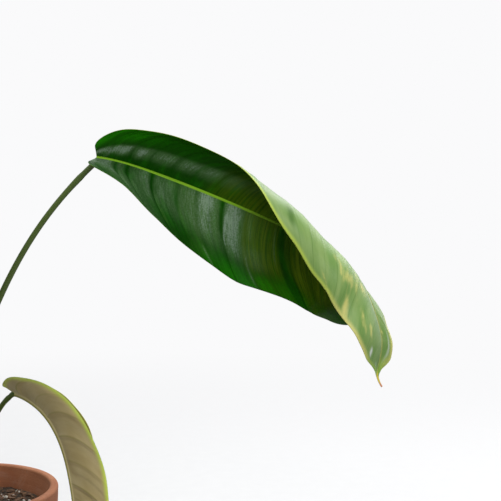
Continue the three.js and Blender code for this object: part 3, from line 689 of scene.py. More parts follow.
def relief(leaf, row, out, is_left):
    """Height of the sheet off its smooth form: panels, grooves, swells and a wavy margin."""
    share = out / half_width(leaf, row, is_left)
    past, depth = vein_numbers(leaf, home_row(leaf, row, out, is_left), is_left)[1:]
    inner = smooth_step(out, 1.5, 6) * (1 - smooth_step(share, 0.82, 0.98))
    tip_fade = 1 - smooth_step(row, 0.9, 0.98)
    rounded = 1 - np.exp(-((past / PANEL["reach"]) ** 2))
    panel = PANEL["height"] * (1.6 * depth * rounded - 0.8)
    groove = -GROOVE["depth"] * depth * np.exp(-((past / GROOVE["reach"]) ** 2))
    lip = LIP["height"] * depth * np.exp(-(((past - LIP["place"]) / LIP["reach"]) ** 2))
    along = row * leaf["length"]
    swell = (0.5 * np.sin(along / 17 + 1.7 * np.sin(out / 21) + leaf["wave_phase"])
             + 0.35 * np.sin(along / 9.1 - out / 13 + 2.2 * np.where(is_left, 1, -1)))
    waving = smooth_step(row, 0, 0.15) * (1 - smooth_step(row, 0.8, 1))
    wave = leaf["wave"] * share ** 3 * waving * np.sin(
        2 * math.pi * leaf["waves"] * row + leaf["wave_phase"] + np.where(is_left, 0, 2))
    soften = np.minimum(1, half_width(leaf, row, is_left) / 20)
    calm = np.where(is_left, smooth_keys(leaf["calm"], row), 1)
    return ((panel + groove + lip) * tip_fade + swell * soften * 0.8) * inner * calm + wave


heights = relief(hero, np.linspace(0.3, 0.6, 200), np.full(200, 20.0), np.full(200, False))
print("Relief from", heights.min().round(2), "to", heights.max().round(2), "mm")

# %% [markdown]
# ## Painted sheen, painted glow, brown and marks
#
# Each point gets shares for its skin: grey sheen painted where the leaf catches the light,
# bright green painted where light shines through it near the margin, and brown in patches.
# The painted sheen is left out of the creases of the veins, as painted shade. All of it is
# worked out here for each point as a share from 0 up, so the finish only has to blend. A noise
# texture alone would put it in any place, and these marks sit where the leaf bends and where
# its veins run.

# %% Work out painted sheen, painted glow, brown and marks
def skin_shares(leaf, row, out, is_left):
    """Shares of painted sheen, brown, painted glow, yellow, moss green and painted highlight at
    each point.
    """
    share = out / half_width(leaf, row, is_left)
    home = home_row(leaf, row, out, is_left)
    past, depth = vein_numbers(leaf, home, is_left)[1:]
    # Painted sheen: a grey sheen painted by the keys for each half.
    wax = of_half(leaf, "wax", is_left, home) * of_half(leaf, "wax_out", is_left, share)
    # Painted shade: the creases of the deeper veins lose most of the painted sheen.
    crease_shade = np.minimum(1, 1.3 * depth) * np.exp(-((past / 3.2) ** 2))
    wax = wax * (1 - crease_shade * (1 - 0.6 * smooth_step(share, 0.4, 0.6)))
    # Brown in patches, less of it towards the margin.
    age = of_half(leaf, "tan", is_left, home) * (1 - 0.8 * smooth_step(share, 0.6, 0.85))
    # Painted glow: bright green where light shining through is painted, near the margin.
    by_margin = np.where(is_left, smooth_step(share, 0.5, 0.85), smooth_step(share, 0.66, 0.95))
    fresh = of_half(leaf, "fresh", is_left, row) * by_margin
    shares = dict(wax=wax, age=age, fresh=fresh, yellow=0 * row, moss=0 * row, frost=0 * row)
    for kind, on_left, place, side, lean, long, wide, strength in leaf["marks"]:
        off = (home - place - lean * (share - side)) / long
        bell = np.exp(-(off ** 2) - ((share - side) / wide) ** 4)
        shares[kind] = shares[kind] + strength * bell * (is_left == on_left)
    return {kind: np.clip(value, 0, 1.3) for kind, value in shares.items()}


painted_sheen_at_base = skin_shares(hero, np.array([0.1]), np.array([8.0]), np.array([True]))["wax"]
print("Share of wax near the large leaf's base:", painted_sheen_at_base.round(2))

# %% [markdown]
# ## One closed blade
#
# A blade is 0.6 mm thick, so its mesh is a top skin and an under skin a little apart, closed
# along the margin by a narrow strip. The midrib stands out as a low round on top and as a deeper
# keel below. A single sheet with a solidify modifier would be shorter, but it would give the
# midrib no keel and the two faces one finish.

# %% Plan a blade's rows and columns
BLADE = dict(thickness=0.6, edge_thin=0.45, rib_width=2.6, rib_top=0.5, rib_under=1.9,
             ridge_share=0.62, slimming=0.8)
RIB_COLUMNS = [0, 0.14, 0.28, 0.42, 0.56, 0.7, 0.85]  # shares of the rib's width


def blade_rows(count):
    """Rows from base to tip, closer together at the rounded base and at the drip tip."""
    base = 0.05 * (1 - np.cos(np.linspace(0, math.pi / 2, 14)))
    tip = np.linspace(0.9, 1, 30)
    return np.unique(np.concatenate([base, np.linspace(0.05, 0.9, count), tip]).round(6))


def blade_grid(leaf, row_count, half_columns):
    """Row, distance out, half and rib width at each point of the grid, right margin to left."""
    rows = blade_rows(row_count)
    spread = np.linspace(0, 1, half_columns) ** 0.9
    side_count = len(RIB_COLUMNS) - 1 + half_columns
    is_left = np.array([False] * side_count + [True] * (side_count + 1))
    row = np.repeat(rows[:, None], len(is_left), axis=1)
    sided = np.repeat(is_left[None, :], len(rows), axis=0)
    half = half_width(leaf, row, sided)
    rib = np.minimum(BLADE["rib_width"] * (1 - 0.7 * row), 0.45 * half)
    outward = [rib * share for share in RIB_COLUMNS[1:]]
    outward += [rib + (half - rib) * share for share in spread]
    right = [outward[k][:, side_count - 1 - k] for k in range(side_count)][::-1]
    left = [outward[k][:, side_count + 1 + k] for k in range(side_count)]
    out = np.stack([*right, np.zeros(len(rows)), *left], axis=1)
    return row, out, sided, rib


print("The large leaf's grid is", blade_grid(hero, 400, 44)[0].shape)

# %% Build a blade
def round_off(share):
    """1 at the middle of a round ridge, falling to 0 at its foot."""
    return np.where(share < 1, 0.5 + 0.5 * np.cos(math.pi * np.minimum(share, 1)), 0)


def blade_skins(leaf, row, out, is_left, rib):
    """Points of the top and the under skin, with the midrib's ridge and keel."""
    midrib = midrib_of(leaf)
    middle = sheet_points(leaf, midrib, row, out, is_left, relief(leaf, row, out, is_left))
    normal = np.cross(np.gradient(middle, axis=0), np.gradient(middle, axis=1))
    normal /= np.linalg.norm(normal, axis=-1, keepdims=True)
    share = out / half_width(leaf, row, is_left)
    half = BLADE["thickness"] / 2 * (1 - BLADE["edge_thin"] * smooth_step(share, 0.9, 1))
    slim = 1 - BLADE["slimming"] * row
    ridge = BLADE["rib_top"] * slim * round_off(out / (BLADE["ridge_share"] * rib))
    keel = BLADE["rib_under"] * slim * round_off(out / rib)
    top = middle + normal * (half + ridge)[..., None]
    under = middle - normal * (half + keel)[..., None]
    return top, under


def to_plant(leaf, points):
    """Turns points from a leaf's own frame to where the leaf stands on the stem."""
    turn = Matrix.Rotation(math.radians(leaf["azimuth"]), 3, "Z")
    return points @ np.array(turn).T + stem_centre(leaf["node"])


def blade_piece(leaf, row_count, half_columns):
    row, out, is_left, rib = blade_grid(leaf, row_count, half_columns)
    top, under = blade_skins(leaf, row, out, is_left, rib)
    grid = np.arange(row.size).reshape(row.shape)
    low = grid + row.size
    top_faces = quads(grid[:-1, :-1], grid[1:, :-1], grid[1:, 1:], grid[:-1, 1:])
    under_faces = quads(low[:-1, :-1], low[:-1, 1:], low[1:, 1:], low[1:, :-1])
    rim_faces = (quads(grid[:-1, 0], low[:-1, 0], low[1:, 0], grid[1:, 0])
                 + quads(low[:-1, -1], grid[:-1, -1], grid[1:, -1], low[1:, -1])
                 + quads(low[0, :-1], grid[0, :-1], grid[0, 1:], low[0, 1:])
                 + quads(grid[-1, :-1], low[-1, :-1], low[-1, 1:], grid[-1, 1:]))
    count, past, depth = vein_numbers(leaf, home_row(leaf, row, out, is_left), is_left)
    values = dict(row=row, out=out, count=count, past=past, depth=depth, rib=out / rib,
                  margin=half_width(leaf, row, is_left) - out, left=is_left * 1.0,
                  **skin_shares(leaf, row, out, is_left))
    points = to_plant(leaf, np.vstack([top.reshape(-1, 3), under.reshape(-1, 3)]))
    both = {key: np.concatenate([value.ravel()] * 2) for key, value in values.items()}
    piece = new_piece(leaf["name"] + "_blade_fine", points, top_faces + under_faces + rim_faces,
                      **both)
    finish_of_face = np.repeat([0, 1, 2], [len(top_faces), len(under_faces), len(rim_faces)])
    piece.data.polygons.foreach_set("material_index", finish_of_face.astype(np.int32))
    return piece

# %% [markdown]
# ## The upper face of a leaf
#
# The upper face is a deep green under a satin cuticle. Streaks run along the side veins, the
# midrib is a bright yellow green, and the margin is drawn with a thin pale line. The finish reads
# the numbers that the mesh carries: the vein count, the distance out and the distance in from
# the margin, and the shares of painted glow, brown and painted sheen. The grey-green sheen and
# the dark creases are painted light and painted shade. A leaf also lets light through, so a
# share of the surface is translucent.

# %% Mix the upper face
# The colour of the painted sheen where it is faint.
FAINT_SHEEN = (0.115, 0.205, 0.088, 1)
CUTICLE_TINT = (0.5, 0.85, 0.2, 1)


def streaks(f, across, along, detail=3.0):
    """Noise drawn out along the side veins: across and along are its changes per vein and mm."""
    return f.drawn_noise(count=across, out=along, left=1, detail=detail)


def upper_face(name, deep, fresh, wax, brown, rib_greens, edge_green):
    f = Finish(name)
    fine = streaks(f, 22, 0.05, detail=4)
    broad = f.remap(streaks(f, 2.2, 0.03), 0.3, 0.7, 0.35, 1)
    # Painted glow: a brighter green where light shining through the leaf is painted.
    green = f.blend(f.times(f.attribute("fresh"), broad), deep, fresh)
    green = f.blend(f.remap(streaks(f, 3.1, 0.05), 0.45, 0.7, 0, 0.25), green, fresh)
    green = f.blend(f.remap(fine, 0.35, 0.7, 0, 0.4), green, deep)
    lined = f.remap(streaks(f, 11, 0.02, detail=4), 0.35, 0.62, 0.3, 1)
    green = f.blend(f.times(f.attribute("age"), lined), green, brown)
    brushed = f.remap(streaks(f, 19, 0.1, detail=5), 0.3, 0.7, 0.6, 1.1)
    speckled = f.remap(f.noise(f.object_place(), scale=800, detail=2), 0.35, 0.65, 0.68, 1)
    # Painted sheen: a grey-green reflection painted into the colour in streaks and specks.
    sheen_mask = f.times(f.attribute("wax"), f.times(brushed, speckled))
    green = f.blend(sheen_mask, green, f.blend(f.remap(sheen_mask, 0.3, 0.8), FAINT_SHEEN, wax))
    # Painted shade: darker green in the creases of the deeper veins.
    crease_shade = f.remap(f.calc("ABSOLUTE", f.attribute("past")), 0.4, 1.8, 0.7, 0.0)
    green = f.blend(f.times(crease_shade, f.attribute("depth")), green, deep)
    rib_green = f.blend(f.ramp("row", 0.3, 0.5), *rib_greens)
    green = f.blend(f.ramp("rib", 0.38, 0.72, 1, 0), green, rib_green)
    green = f.blend(f.ramp("margin", 0.15, 0.7, 0.8, 0), green, edge_green)
    pores = f.noise(f.object_place(), scale=2600, detail=2)
    height = f.calc("ADD", streaks(f, 14, 0.06), f.times(pores, 0.5))
    gloss = f.remap(streaks(f, 12, 0.05), 0.3, 0.7, 0.3, 0.42)
    skin = f.surface(Base_Color=green, Roughness=gloss, IOR=1.45, Specular_IOR_Level=0.12,
                     Specular_Tint=CUTICLE_TINT, Normal=f.bump(height, 0.00006))
    return f.finish_thin(skin, 0.06, colour(120, 170, 20))


green_top = upper_face(
    "leaf_top", deep=(0.0008, 0.037, 0.0001, 1), fresh=(0.01, 0.18, 0.0003, 1),
    wax=(0.165, 0.24, 0.165, 1), brown=(0.085, 0.135, 0.003, 1),
    rib_greens=[(0.2, 0.4, 0.022, 1), (0.12, 0.23, 0.012, 1)], edge_green=(0.06, 0.18, 0.004, 1))
gold_top = upper_face(
    "old_leaf_top", deep=(0.12, 0.12, 0.012, 1), fresh=(0.24, 0.2, 0.03, 1),
    wax=(0.34, 0.3, 0.16, 1), brown=(0.2, 0.13, 0.03, 1),
    rib_greens=[(0.45, 0.42, 0.08, 1), (0.4, 0.36, 0.08, 1)], edge_green=(0.5, 0.45, 0.1, 1))
print("Upper faces:", green_top.name, "and", gold_top.name)

# %% [markdown]
# ## The under face and the margin
#
# The under face is paler and less glossy, with the side veins as fine lines and the keel of the
# midrib darker green with a yellow border. Old tissue turns yellow in patches, and the drip tip
# goes from yellow to a dry rosy brown. The margin strip is a pale, almost see-through yellow
# green. Top and underside could share one finish that asks which side is seen, but the export
# keeps two plain ones better.

# %% Mix the under face
MARGIN_LIGHT = (0.66, 0.82, 0.1, 1)
MARGIN_LATE = (0.3, 0.5, 0.06, 1)
# The colour of the painted highlights.
HIGHLIGHT_WHITE = (0.72, 0.78, 0.68, 1)


def drip_tip(f, tone):
    """Yellows a tone at the last of the leaf, and dries it at the very tip."""
    tone = f.blend(f.ramp("row", 0.95, 0.97), tone, colour(226, 204, 60))
    return f.blend(f.ramp("row", 0.978, 0.995), tone, colour(226, 150, 108))


def under_face(name, pale, deep, vein_green, patch):
    f = Finish(name)
    green = f.blend(f.remap(streaks(f, 1.1, 0.04), 0.3, 0.7), pale, deep)
    fine = f.remap(streaks(f, 26, 0.05, detail=4), 0.35, 0.7)
    green = f.blend(f.times(fine, 0.12), green, deep)
    green = f.blend(f.ramp("row", 0.72, 0.9, 0, 0.4), green, vein_green)
    green = f.blend(f.attribute("moss"), green, vein_green)
    vein = f.remap(f.calc("ABSOLUTE", f.attribute("past")), 0.2, 0.9, 0.6, 0)
    green = f.blend(f.times(vein, f.attribute("depth")), green, vein_green)
    uneven = f.remap(streaks(f, 2.5, 0.12), 0.3, 0.7, -0.35, 0.35)
    ragged = f.calc("ADD", f.attribute("yellow"), uneven)
    green = f.blend(f.remap(ragged, 0.2, 1.2, 0, 0.8), green, patch)
    green = f.blend(f.ramp("rib", 0.8, 1.3, 0.6, 0), green, patch)
    green = f.blend(f.ramp("rib", 0.35, 0.6, 1, 0), green, vein_green)
    edge = f.blend(f.ramp("row", 0.5, 0.75), MARGIN_LIGHT, patch)
    edge = f.blend(f.ramp("row", 0.86, 0.94), edge, MARGIN_LATE)
    green = drip_tip(f, f.blend(f.ramp("margin", 0.4, 4.5, 0.85, 0), green, edge))
    # Painted highlights: pale sheen and glints blended into the colour.
    green = f.blend(f.attribute("frost"), green, HIGHLIGHT_WHITE)
    gloss = f.remap(streaks(f, 8, 0.05), 0.3, 0.7, 0.38, 0.5)
    skin = f.surface(Base_Color=green, Roughness=gloss, IOR=1.42, Sheen_Weight=0.35,
                     Sheen_Roughness=0.35, Normal=f.bump(streaks(f, 13, 0.05), 0.00004))
    return f.finish_thin(skin, 0.2, colour(170, 200, 60))


green_under = under_face("leaf_under", pale=(0.31, 0.46, 0.14, 1), deep=(0.19, 0.35, 0.08, 1),
                         vein_green=(0.1, 0.22, 0.035, 1), patch=(0.78, 0.72, 0.22, 1))
gold_under = under_face("old_leaf_under", pale=(0.62, 0.5, 0.26, 1), deep=(0.48, 0.36, 0.16, 1),
                        vein_green=(0.3, 0.26, 0.06, 1), patch=(0.66, 0.56, 0.3, 1))
print("Under faces:", green_under.name, "and", gold_under.name)

# %% Mix the margin
MARGIN_SHADE = (0.05, 0.16, 0.01, 1)


def margin_strip(name, green):
    f = Finish(name)
    mottled = f.blend(f.noise(f.object_place(), scale=300), green, colour(200, 205, 96))
    shaded = f.calc("SUBTRACT", 1, f.ramp("left", 0.3, 0.7))
    tone = f.blend(f.times(shaded, 0.8), drip_tip(f, mottled), MARGIN_SHADE)
    skin = f.surface(Base_Color=tone, Roughness=0.45, Specular_IOR_Level=0.2)
    return f.finish_thin(skin, 0.3, green)


green_margin = margin_strip("leaf_margin", colour(120, 158, 44))
gold_margin = margin_strip("old_leaf_margin", colour(196, 186, 80))
print("Margins:", green_margin.name, "and", gold_margin.name)

# %% [markdown]
# ## Seven blades
#
# The large leaf is seen close by and gets a fine grid. The others get a broader one, which still
# draws every vein. The second leaf is old and has turned to gold.

# %% Make the blades
FINE_BLADE = dict(row_count=400, half_columns=44)
BROAD_BLADE = dict(row_count=170, half_columns=28)
GREEN = green_top, green_under, green_margin
GOLD = gold_top, gold_under, gold_margin
for leaf in LEAVES:
    blade = blade_piece(leaf, **(FINE_BLADE if leaf is hero else BROAD_BLADE))
    old = leaf["name"] == "leaf_2"
    settle(blade, leaf["name"] + "_blade", "old_blade" if old else "blade",
           *(GOLD if old else GREEN))

# %% [markdown]
# ## Round pieces along a line
#
# Stalks, roots, stem and the rolled new leaf are all round pieces along a line. A curve object
# with a bevel would do for a wire, but its section can't swell, groove or twist as it goes. So
# each is a run of rings, square to the line. A ring's frame is carried from the one before it,
# turned as little as possible, which keeps the skin from twisting.

# %% A round piece along a line
def carried_frames(line):
    """Two directions square to a line at each of its points, that don't twist about it."""
    along = np.gradient(line, axis=0)
    along /= np.linalg.norm(along, axis=1, keepdims=True)
    side = np.cross([0, 0, 1] if abs(along[0, 2]) < 0.9 else [0, 1, 0], along[0])
    sides = []
    for direction in along:
        side = side - direction * (side @ direction)
        side = side / np.linalg.norm(side)
        sides.append(side)
    sides = np.array(sides)
    return sides, np.cross(along, sides)


def turn_angles(sides):
    return np.linspace(0, 2 * math.pi, sides, endpoint=False)


def ring_faces(rings, sides):
    """A grid of point numbers, rings by sides, and the faces between the rings."""
    grid = np.arange(rings * sides).reshape(rings, sides)
    ahead = np.roll(grid, -1, axis=1)
    return grid, ahead, quads(grid[:-1], ahead[:-1], ahead[1:], grid[1:])


def round_skin(line, radius, sides):
    """Points, faces and numbers of a closed round piece. radius is an array of rings by sides."""
    side, over = carried_frames(line)
    angle = turn_angles(sides)
    radius = np.broadcast_to(radius, (len(line), sides))
    points = (line[:, None, :] + side[:, None, :] * (radius * np.cos(angle))[..., None]
              + over[:, None, :] * (radius * np.sin(angle))[..., None]).reshape(-1, 3)
    grid, _, faces = ring_faces(len(line), sides)
    faces += [grid[0][::-1].tolist(), grid[-1].tolist()]
    travel = np.concatenate([[0], np.cumsum(np.linalg.norm(np.diff(line, axis=0), axis=1))])
    return points, faces, dict(place=np.repeat(np.linspace(0, 1, len(line)), sides),
                               travel=np.repeat(travel, sides), angle=np.tile(angle, len(line)))


def round_piece(name, skins):
    """One piece from several round skins, with their numbers."""
    points, faces, numbers = [], [], {}
    for part_points, part_faces, part_numbers in skins:
        start = sum(len(group) for group in points)
        points.append(part_points)
        faces += [[corner + start for corner in face] for face in part_faces]
        for key, values in part_numbers.items():
            numbers.setdefault(key, []).append(values)
    joined = {key: np.concatenate(values) for key, values in numbers.items()}
    return new_piece(name, np.vstack(points), faces, **joined)


print("A round skin of 10 rings and 8 sides has", len(ring_faces(10, 8)[2]) + 2, "faces")

# %% [markdown]
# ## Petioles
#
# A petiole leaves the stem with a broad foot that clasps it, thins to a slim olive stalk, and
# ends in a knee: a short swollen joint that turns the blade to the light. The stalk is round
# below and slightly flat above, with faint lengthwise lines and pale flecks.

# %% Draw the petiole's line
KNEE_LENGTH = 7
KNEE_STEPS = 12
PETIOLE_SIDES = 20
UPPER_FLAT = 0.16  # how much of the radius the flat upper side loses
STALK_RADII = [[0, 4.2], [0.1, 3.6], [0.3, 2.9], [0.8, 2.6], [0.93, 3], [1, 2.5]]


def bezier(points, count):
    """Places along a Bezier curve of any degree."""
    share = np.linspace(0, 1, count)[:, None]
    levels = [np.broadcast_to(np.asarray(point, float), (count, 3)) for point in points]
    while len(levels) > 1:
        levels = [low * (1 - share) + high * share for low, high in zip(levels, levels[1:])]
    return levels[0]


def petiole_line(leaf):
    """Points from inside the stem, over the arch and round the knee to the blade's base."""
    base = np.add(leaf["base"], leaf["tuck"])
    pitch, yaw = (math.radians(smooth_keys(leaf[key], 0)) for key in ("pitch", "yaw"))
    first = heading(pitch, yaw)
    arrive = heading(math.radians(leaf["arrive"]), math.atan2(base[1], base[0]))
    turn = math.acos(np.clip(first @ arrive, -1, 1))
    knee = [base]
    for i in range(KNEE_STEPS):
        along = first + (arrive - first) * (i + 0.5) / KNEE_STEPS
        along /= np.linalg.norm(along)
        knee.insert(0, knee[0] - along * KNEE_LENGTH * leaf["stalk"] * turn / KNEE_STEPS)
    start = np.array([1.5, 0, 0])
    span = np.linalg.norm(start - knee[0])
    leave = heading(math.radians(leaf["leave"]), 0.0)
    arch = bezier([start, start + leave * 0.4 * span, knee[0] - arrive * 0.35 * span, knee[0]], 60)
    return np.vstack([arch, knee[1:]])


def petiole_skin(leaf):
    line = petiole_line(leaf)
    share = np.linspace(0, 1, len(line))
    steps = np.linalg.norm(np.diff(line, axis=0), axis=1)
    place = np.concatenate([[0], np.cumsum(steps)]) / steps.sum()
    radius = smooth_keys(STALK_RADII, np.where(place < 0.9, place, share)) * leaf["stalk"]
    upper = np.clip(np.cos(turn_angles(PETIOLE_SIDES) - math.pi / 2), 0, 1) ** 3
    section = radius[:, None] * (1 - UPPER_FLAT * upper[None, :] * (place[:, None] < 0.93))
    points, faces, numbers = round_skin(line, section, PETIOLE_SIDES)
    return to_plant(leaf, points), faces, numbers


print("The large leaf's petiole bends over", len(petiole_line(hero)), "points")

# %% Mix the petiole's finish
def stalk_finish(name, base, tip, fleck):
    f = Finish(name)
    lines = f.drawn_noise(angle=9, travel=0.02)
    green = f.blend(f.ramp("place", 0.2, 0.95), base, tip)
    green = f.blend(f.remap(lines, 0.4, 0.7, 0, 0.5), green, fleck)
    spots = f.noise(f.object_place(), scale=900, detail=1)
    green = f.blend(f.remap(spots, 0.62, 0.7, 0, 0.5), green, fleck)
    height = f.calc("ADD", lines, f.noise(f.object_place(), scale=1500))
    return f.finish(f.surface(Base_Color=green, Roughness=0.42, IOR=1.45,
                              Normal=f.bump(height, 0.0001)))


stalk = stalk_finish("petiole_skin", base=(0.05, 0.085, 0.012, 1), tip=(0.05, 0.09, 0.008, 1),
                     fleck=(0.1, 0.13, 0.03, 1))
for leaf in LEAVES:
    petiole = round_piece(leaf["name"] + "_petiole_fine", [petiole_skin(leaf)])
    settle(petiole, leaf["name"] + "_petiole", "petiole", stalk)

# %% [markdown]
# ## The stem
#
# The stem is short and jointed. Each joint is a slight swelling with a raised ring, the scar of
# the sheath that once stood there. Rings for the scars are added to the radius by the same bell
# curve as the swelling, only sharper. Cutting and joining solids would leave hard edges there.

# %% Build the stem
STEM_SIDES = 32
SWELL_REACH = 3
SCAR = dict(height=0.32, reach=0.55, below=4.5, tilt=1.1)
STEM_END = dict(reach=2.5, rounding=2.2)


def stem_radius(height, angle):
    share = np.clip((height - SOIL_LEVEL) / (STEM["top"] - SOIL_LEVEL), 0, 1)
    radius = STEM["radius"] + (STEM["top_radius"] - STEM["radius"]) * share
    for leaf in LEAVES:
        away = height - leaf["node"]
        radius = radius + STEM["node_swell"] * np.exp(-((away / SWELL_REACH) ** 2))
        tilt = SCAR["tilt"] * np.cos(angle - math.radians(leaf["azimuth"]))
        scar = away + SCAR["below"] + tilt
        radius = radius + SCAR["height"] * np.exp(-((scar / SCAR["reach"]) ** 2))
    radius = radius + 0.12 * np.sin(9 * angle + height / 11) * np.sin(height / 5)
    rounding = smooth_step(height, STEM["top"] - STEM_END["reach"], STEM["top"])
    return radius - STEM_END["rounding"] * rounding


stem_heights = np.unique(np.concatenate([np.arange(STEM["foot"], 110, 4.0),
                                         np.arange(110, STEM["top"], 0.6), [STEM["top"]]]))
stem_rings = stem_radius(stem_heights[:, None], turn_angles(STEM_SIDES)[None, :])
stem_piece = round_piece("stem_fine", [round_skin(stem_centre(stem_heights), stem_rings,
                                                  STEM_SIDES)])
print("The stem is", STEM["top"] - SOIL_LEVEL, "mm tall above the soil")

# %% [markdown]
# ## Aerial roots
#
# From some joints come brown aerial roots that would hold the plant to a tree. Each comes out of
# a small collar, turns down along the stem and thins to a blunt tip. A smooth curve through four
# points draws it. A hair system would be quicker for hundreds of roots, but not for eight.

# %% Grow the aerial roots
# Height on the stem, direction, length, and how far each root stands off.
ROOTS = [(134, 60, 24, 8), (136, 285, 22, 9), (152, 130, 38, 12), (154, 262, 34, 10),
         (172, 28, 48, 14), (192, 300, 24, 10), (214, 200, 18, 7), (236, 300, 14, 6)]
ROOT = dict(radius=1.4, tip=0.5, collar=0.8, round_from=0.93)
ROOT_SIDES = 12


def through(points, count):
    """Places along a smooth curve through four points, in equal shares of its parameter."""
    points = np.array(points)
    ends = np.vstack([2 * points[0] - points[1], points, 2 * points[-1] - points[-2]])
    spans = np.linspace(0, len(points) - 1, count)
    i = np.minimum(spans.astype(int), len(points) - 2)
    u = (spans - i)[:, None]
    a, b, c, d = (ends[i + k] for k in range(4))
    return 0.5 * (2 * b + (c - a) * u + (2 * a - 5 * b + 4 * c - d) * u ** 2
                  + (3 * b - a - 3 * c + d) * u ** 3)


def root_skin(height, azimuth, length, stand_off):
    out = heading(0.0, math.radians(azimuth))
    centre = stem_centre(height)
    reach = float(stem_radius(np.array(height), 0.0)) + stand_off
    lowest = max(height - length, SOIL_LEVEL + ROOT["radius"] + 1)

    def at(distance, level):
        return [*(centre + out * distance)[:2], level]

    line = through([at(2, height), at(0.75 * reach, height - 2),
                    at(reach, height - 0.45 * (height - lowest)), at(1.05 * reach, lowest)], 44)
    share = np.linspace(0, 1, len(line))
    radius = ROOT["radius"] + (ROOT["tip"] - ROOT["radius"]) * share ** 3
    collar = ROOT["collar"] * np.exp(-((share - 0.12) / 0.06) ** 2)
    knobs = 0.12 * np.sin(share * 40 + azimuth) + 0.08 * np.sin(share * 97)
    round_end = np.sqrt(np.clip(1 - ((share - ROOT["round_from"]) / 0.075) ** 2, 0.06, 1))
    radius = (radius + collar + knobs) * np.where(share > ROOT["round_from"], round_end, 1)
    return round_skin(line, radius[:, None], ROOT_SIDES)


root_piece = round_piece("aerial_roots", [root_skin(*root) for root in ROOTS])
print(len(ROOTS), "aerial roots")

# %% [markdown]
# ## Green bark and brown roots
#
# Young stem is green and turns to tan cork from the foot up, in patches and along fine lines. The
# roots are brown and rough, with a green tip while they grow. Height along the piece decides how
# much of each colour shows, so one finish serves the whole stem.

# %% Finish the stem and roots
OLD_BARK, YOUNG_BARK = (0.13, 0.1, 0.045, 1), (0.11, 0.19, 0.03, 1)
BARK_LINES, CORK = (0.2, 0.17, 0.075, 1), (0.24, 0.16, 0.09, 1)
ROOT_DARK, ROOT_LIGHT, ROOT_TIP = (0.13, 0.07, 0.035, 1), (0.3, 0.19, 0.1, 1), (0.38, 0.4, 0.16, 1)


def stem_finish():
    f = Finish("stem_skin")
    lines = f.drawn_noise(angle=5, travel=0.05, detail=4)
    bark = f.blend(f.ramp("place", 0.3, 1.0), OLD_BARK, YOUNG_BARK)
    bark = f.blend(f.remap(lines, 0.35, 0.7, 0, 0.7), bark, BARK_LINES)
    cork = f.noise(f.object_place(), scale=260, detail=5)
    bark = f.blend(f.remap(cork, 0.52, 0.66, 0, 0.8), bark, CORK)
    height = f.calc("ADD", lines, f.noise(f.object_place(), scale=700, detail=4))
    return f.finish(f.surface(Base_Color=bark, Roughness=0.55, Normal=f.bump(height, 0.0006)))


def root_finish():
    f = Finish("root_skin")
    rough = f.noise(f.object_place(), scale=500, detail=4)
    brown = f.blend(f.remap(rough, 0.35, 0.65), ROOT_DARK, ROOT_LIGHT)
    brown = f.blend(f.ramp("place", 0.82, 0.97), brown, ROOT_TIP)
    return f.finish(f.surface(Base_Color=brown, Roughness=0.75, Normal=f.bump(rough, 0.0008)))


settle(stem_piece, "stem", "stem", stem_finish())
settle(root_piece, "stem", "stem", root_finish())

# %% [markdown]
# ## The rolled new leaf
#
# The newest leaf comes up rolled like an umbrella, thin at the stalk, fat in the middle and
# drawn out to a point. The free edge of the roll winds up it as a step in the radius, which is
# the only shape that tells a rolled leaf from a stick.

# %% Roll the new leaf
SPEAR = dict(length=190, radius=3.6, turns=2.2, step=0.16, rings=150, sides=40)
SPEAR_SHAPE = [[0, 0.72], [0.3, 0.7], [0.42, 1], [0.6, 1.05], [0.85, 0.62], [1, 0.16]]
SPEAR_STALK, SPEAR_GREEN = (0.16, 0.26, 0.05, 1), (0.3, 0.42, 0.09, 1)
SPEAR_LINES, SPEAR_EDGE = (0.2, 0.36, 0.06, 1), (0.5, 0.55, 0.16, 1)
SPEAR_TIP = (0.42, 0.26, 0.1, 1)


def spear_skin():
    length, rings, sides = SPEAR["length"], SPEAR["rings"], SPEAR["sides"]
    line = bezier([(0, 0, -3), (0, 0, 0.5 * length), (0.12 * length, 0.1 * length, length)], rings)
    share = np.linspace(0, 1, rings)[:, None]
    wind = 2 * math.pi * SPEAR["turns"] * share
    around = ((turn_angles(sides)[None, :] + wind) / (2 * math.pi)) % 1
    rolled = smooth_step(share, 0.3, 0.42)
    step = SPEAR["step"] * rolled * (np.minimum(around / 0.97, (1 - around) / 0.03) - 0.5)
    radius = SPEAR["radius"] * smooth_keys(SPEAR_SHAPE, share) * (1 + step)
    points, faces, numbers = round_skin(line, radius, sides)
    numbers["seam"] = np.where(rolled > 0, around, 0.5).ravel()
    return points + stem_centre(STEM["top"]), faces, numbers


def spear_finish():
    f = Finish("new_leaf_skin")
    lines = f.drawn_noise(angle=6, travel=0.08)
    green = f.blend(f.ramp("place", 0.1, 0.9), SPEAR_STALK, SPEAR_GREEN)
    green = f.blend(f.remap(lines, 0.4, 0.7, 0, 0.5), green, SPEAR_LINES)
    green = f.blend(f.ramp("seam", 0.9, 0.97), green, SPEAR_EDGE)
    green = f.blend(f.ramp("place", 0.965, 1.0), green, SPEAR_TIP)
    skin = f.surface(Base_Color=green, Roughness=0.36, IOR=1.45, Normal=f.bump(lines, 0.0002))
    return f.finish_thin(skin, 0.1, (0.4, 0.55, 0.08, 1))


settle(round_piece("new_leaf", [spear_skin()]), "spear", "spear", spear_finish())

# %% [markdown]
# ## Dry sheaths
#
# Each new leaf is wrapped in a sheath that dries to brown paper and stays for a while, standing
# against the stem. It is the same kind of sheet as a blade, small and curled, so the same
# function makes it. Only its finish differs: papery, with dark fibres along it.

# %% Build the sheaths
SHEATH_WIDTH = [[0, 0.85], [0.4, 1], [0.8, 0.6], [1, 0.15]]
SHEATH_LEAN = 80
PAPER_DARK, PAPER_LIGHT = (0.22, 0.12, 0.055, 1), (0.46, 0.3, 0.16, 1)
PAPER_FOOT = (0.36, 0.34, 0.14, 1)


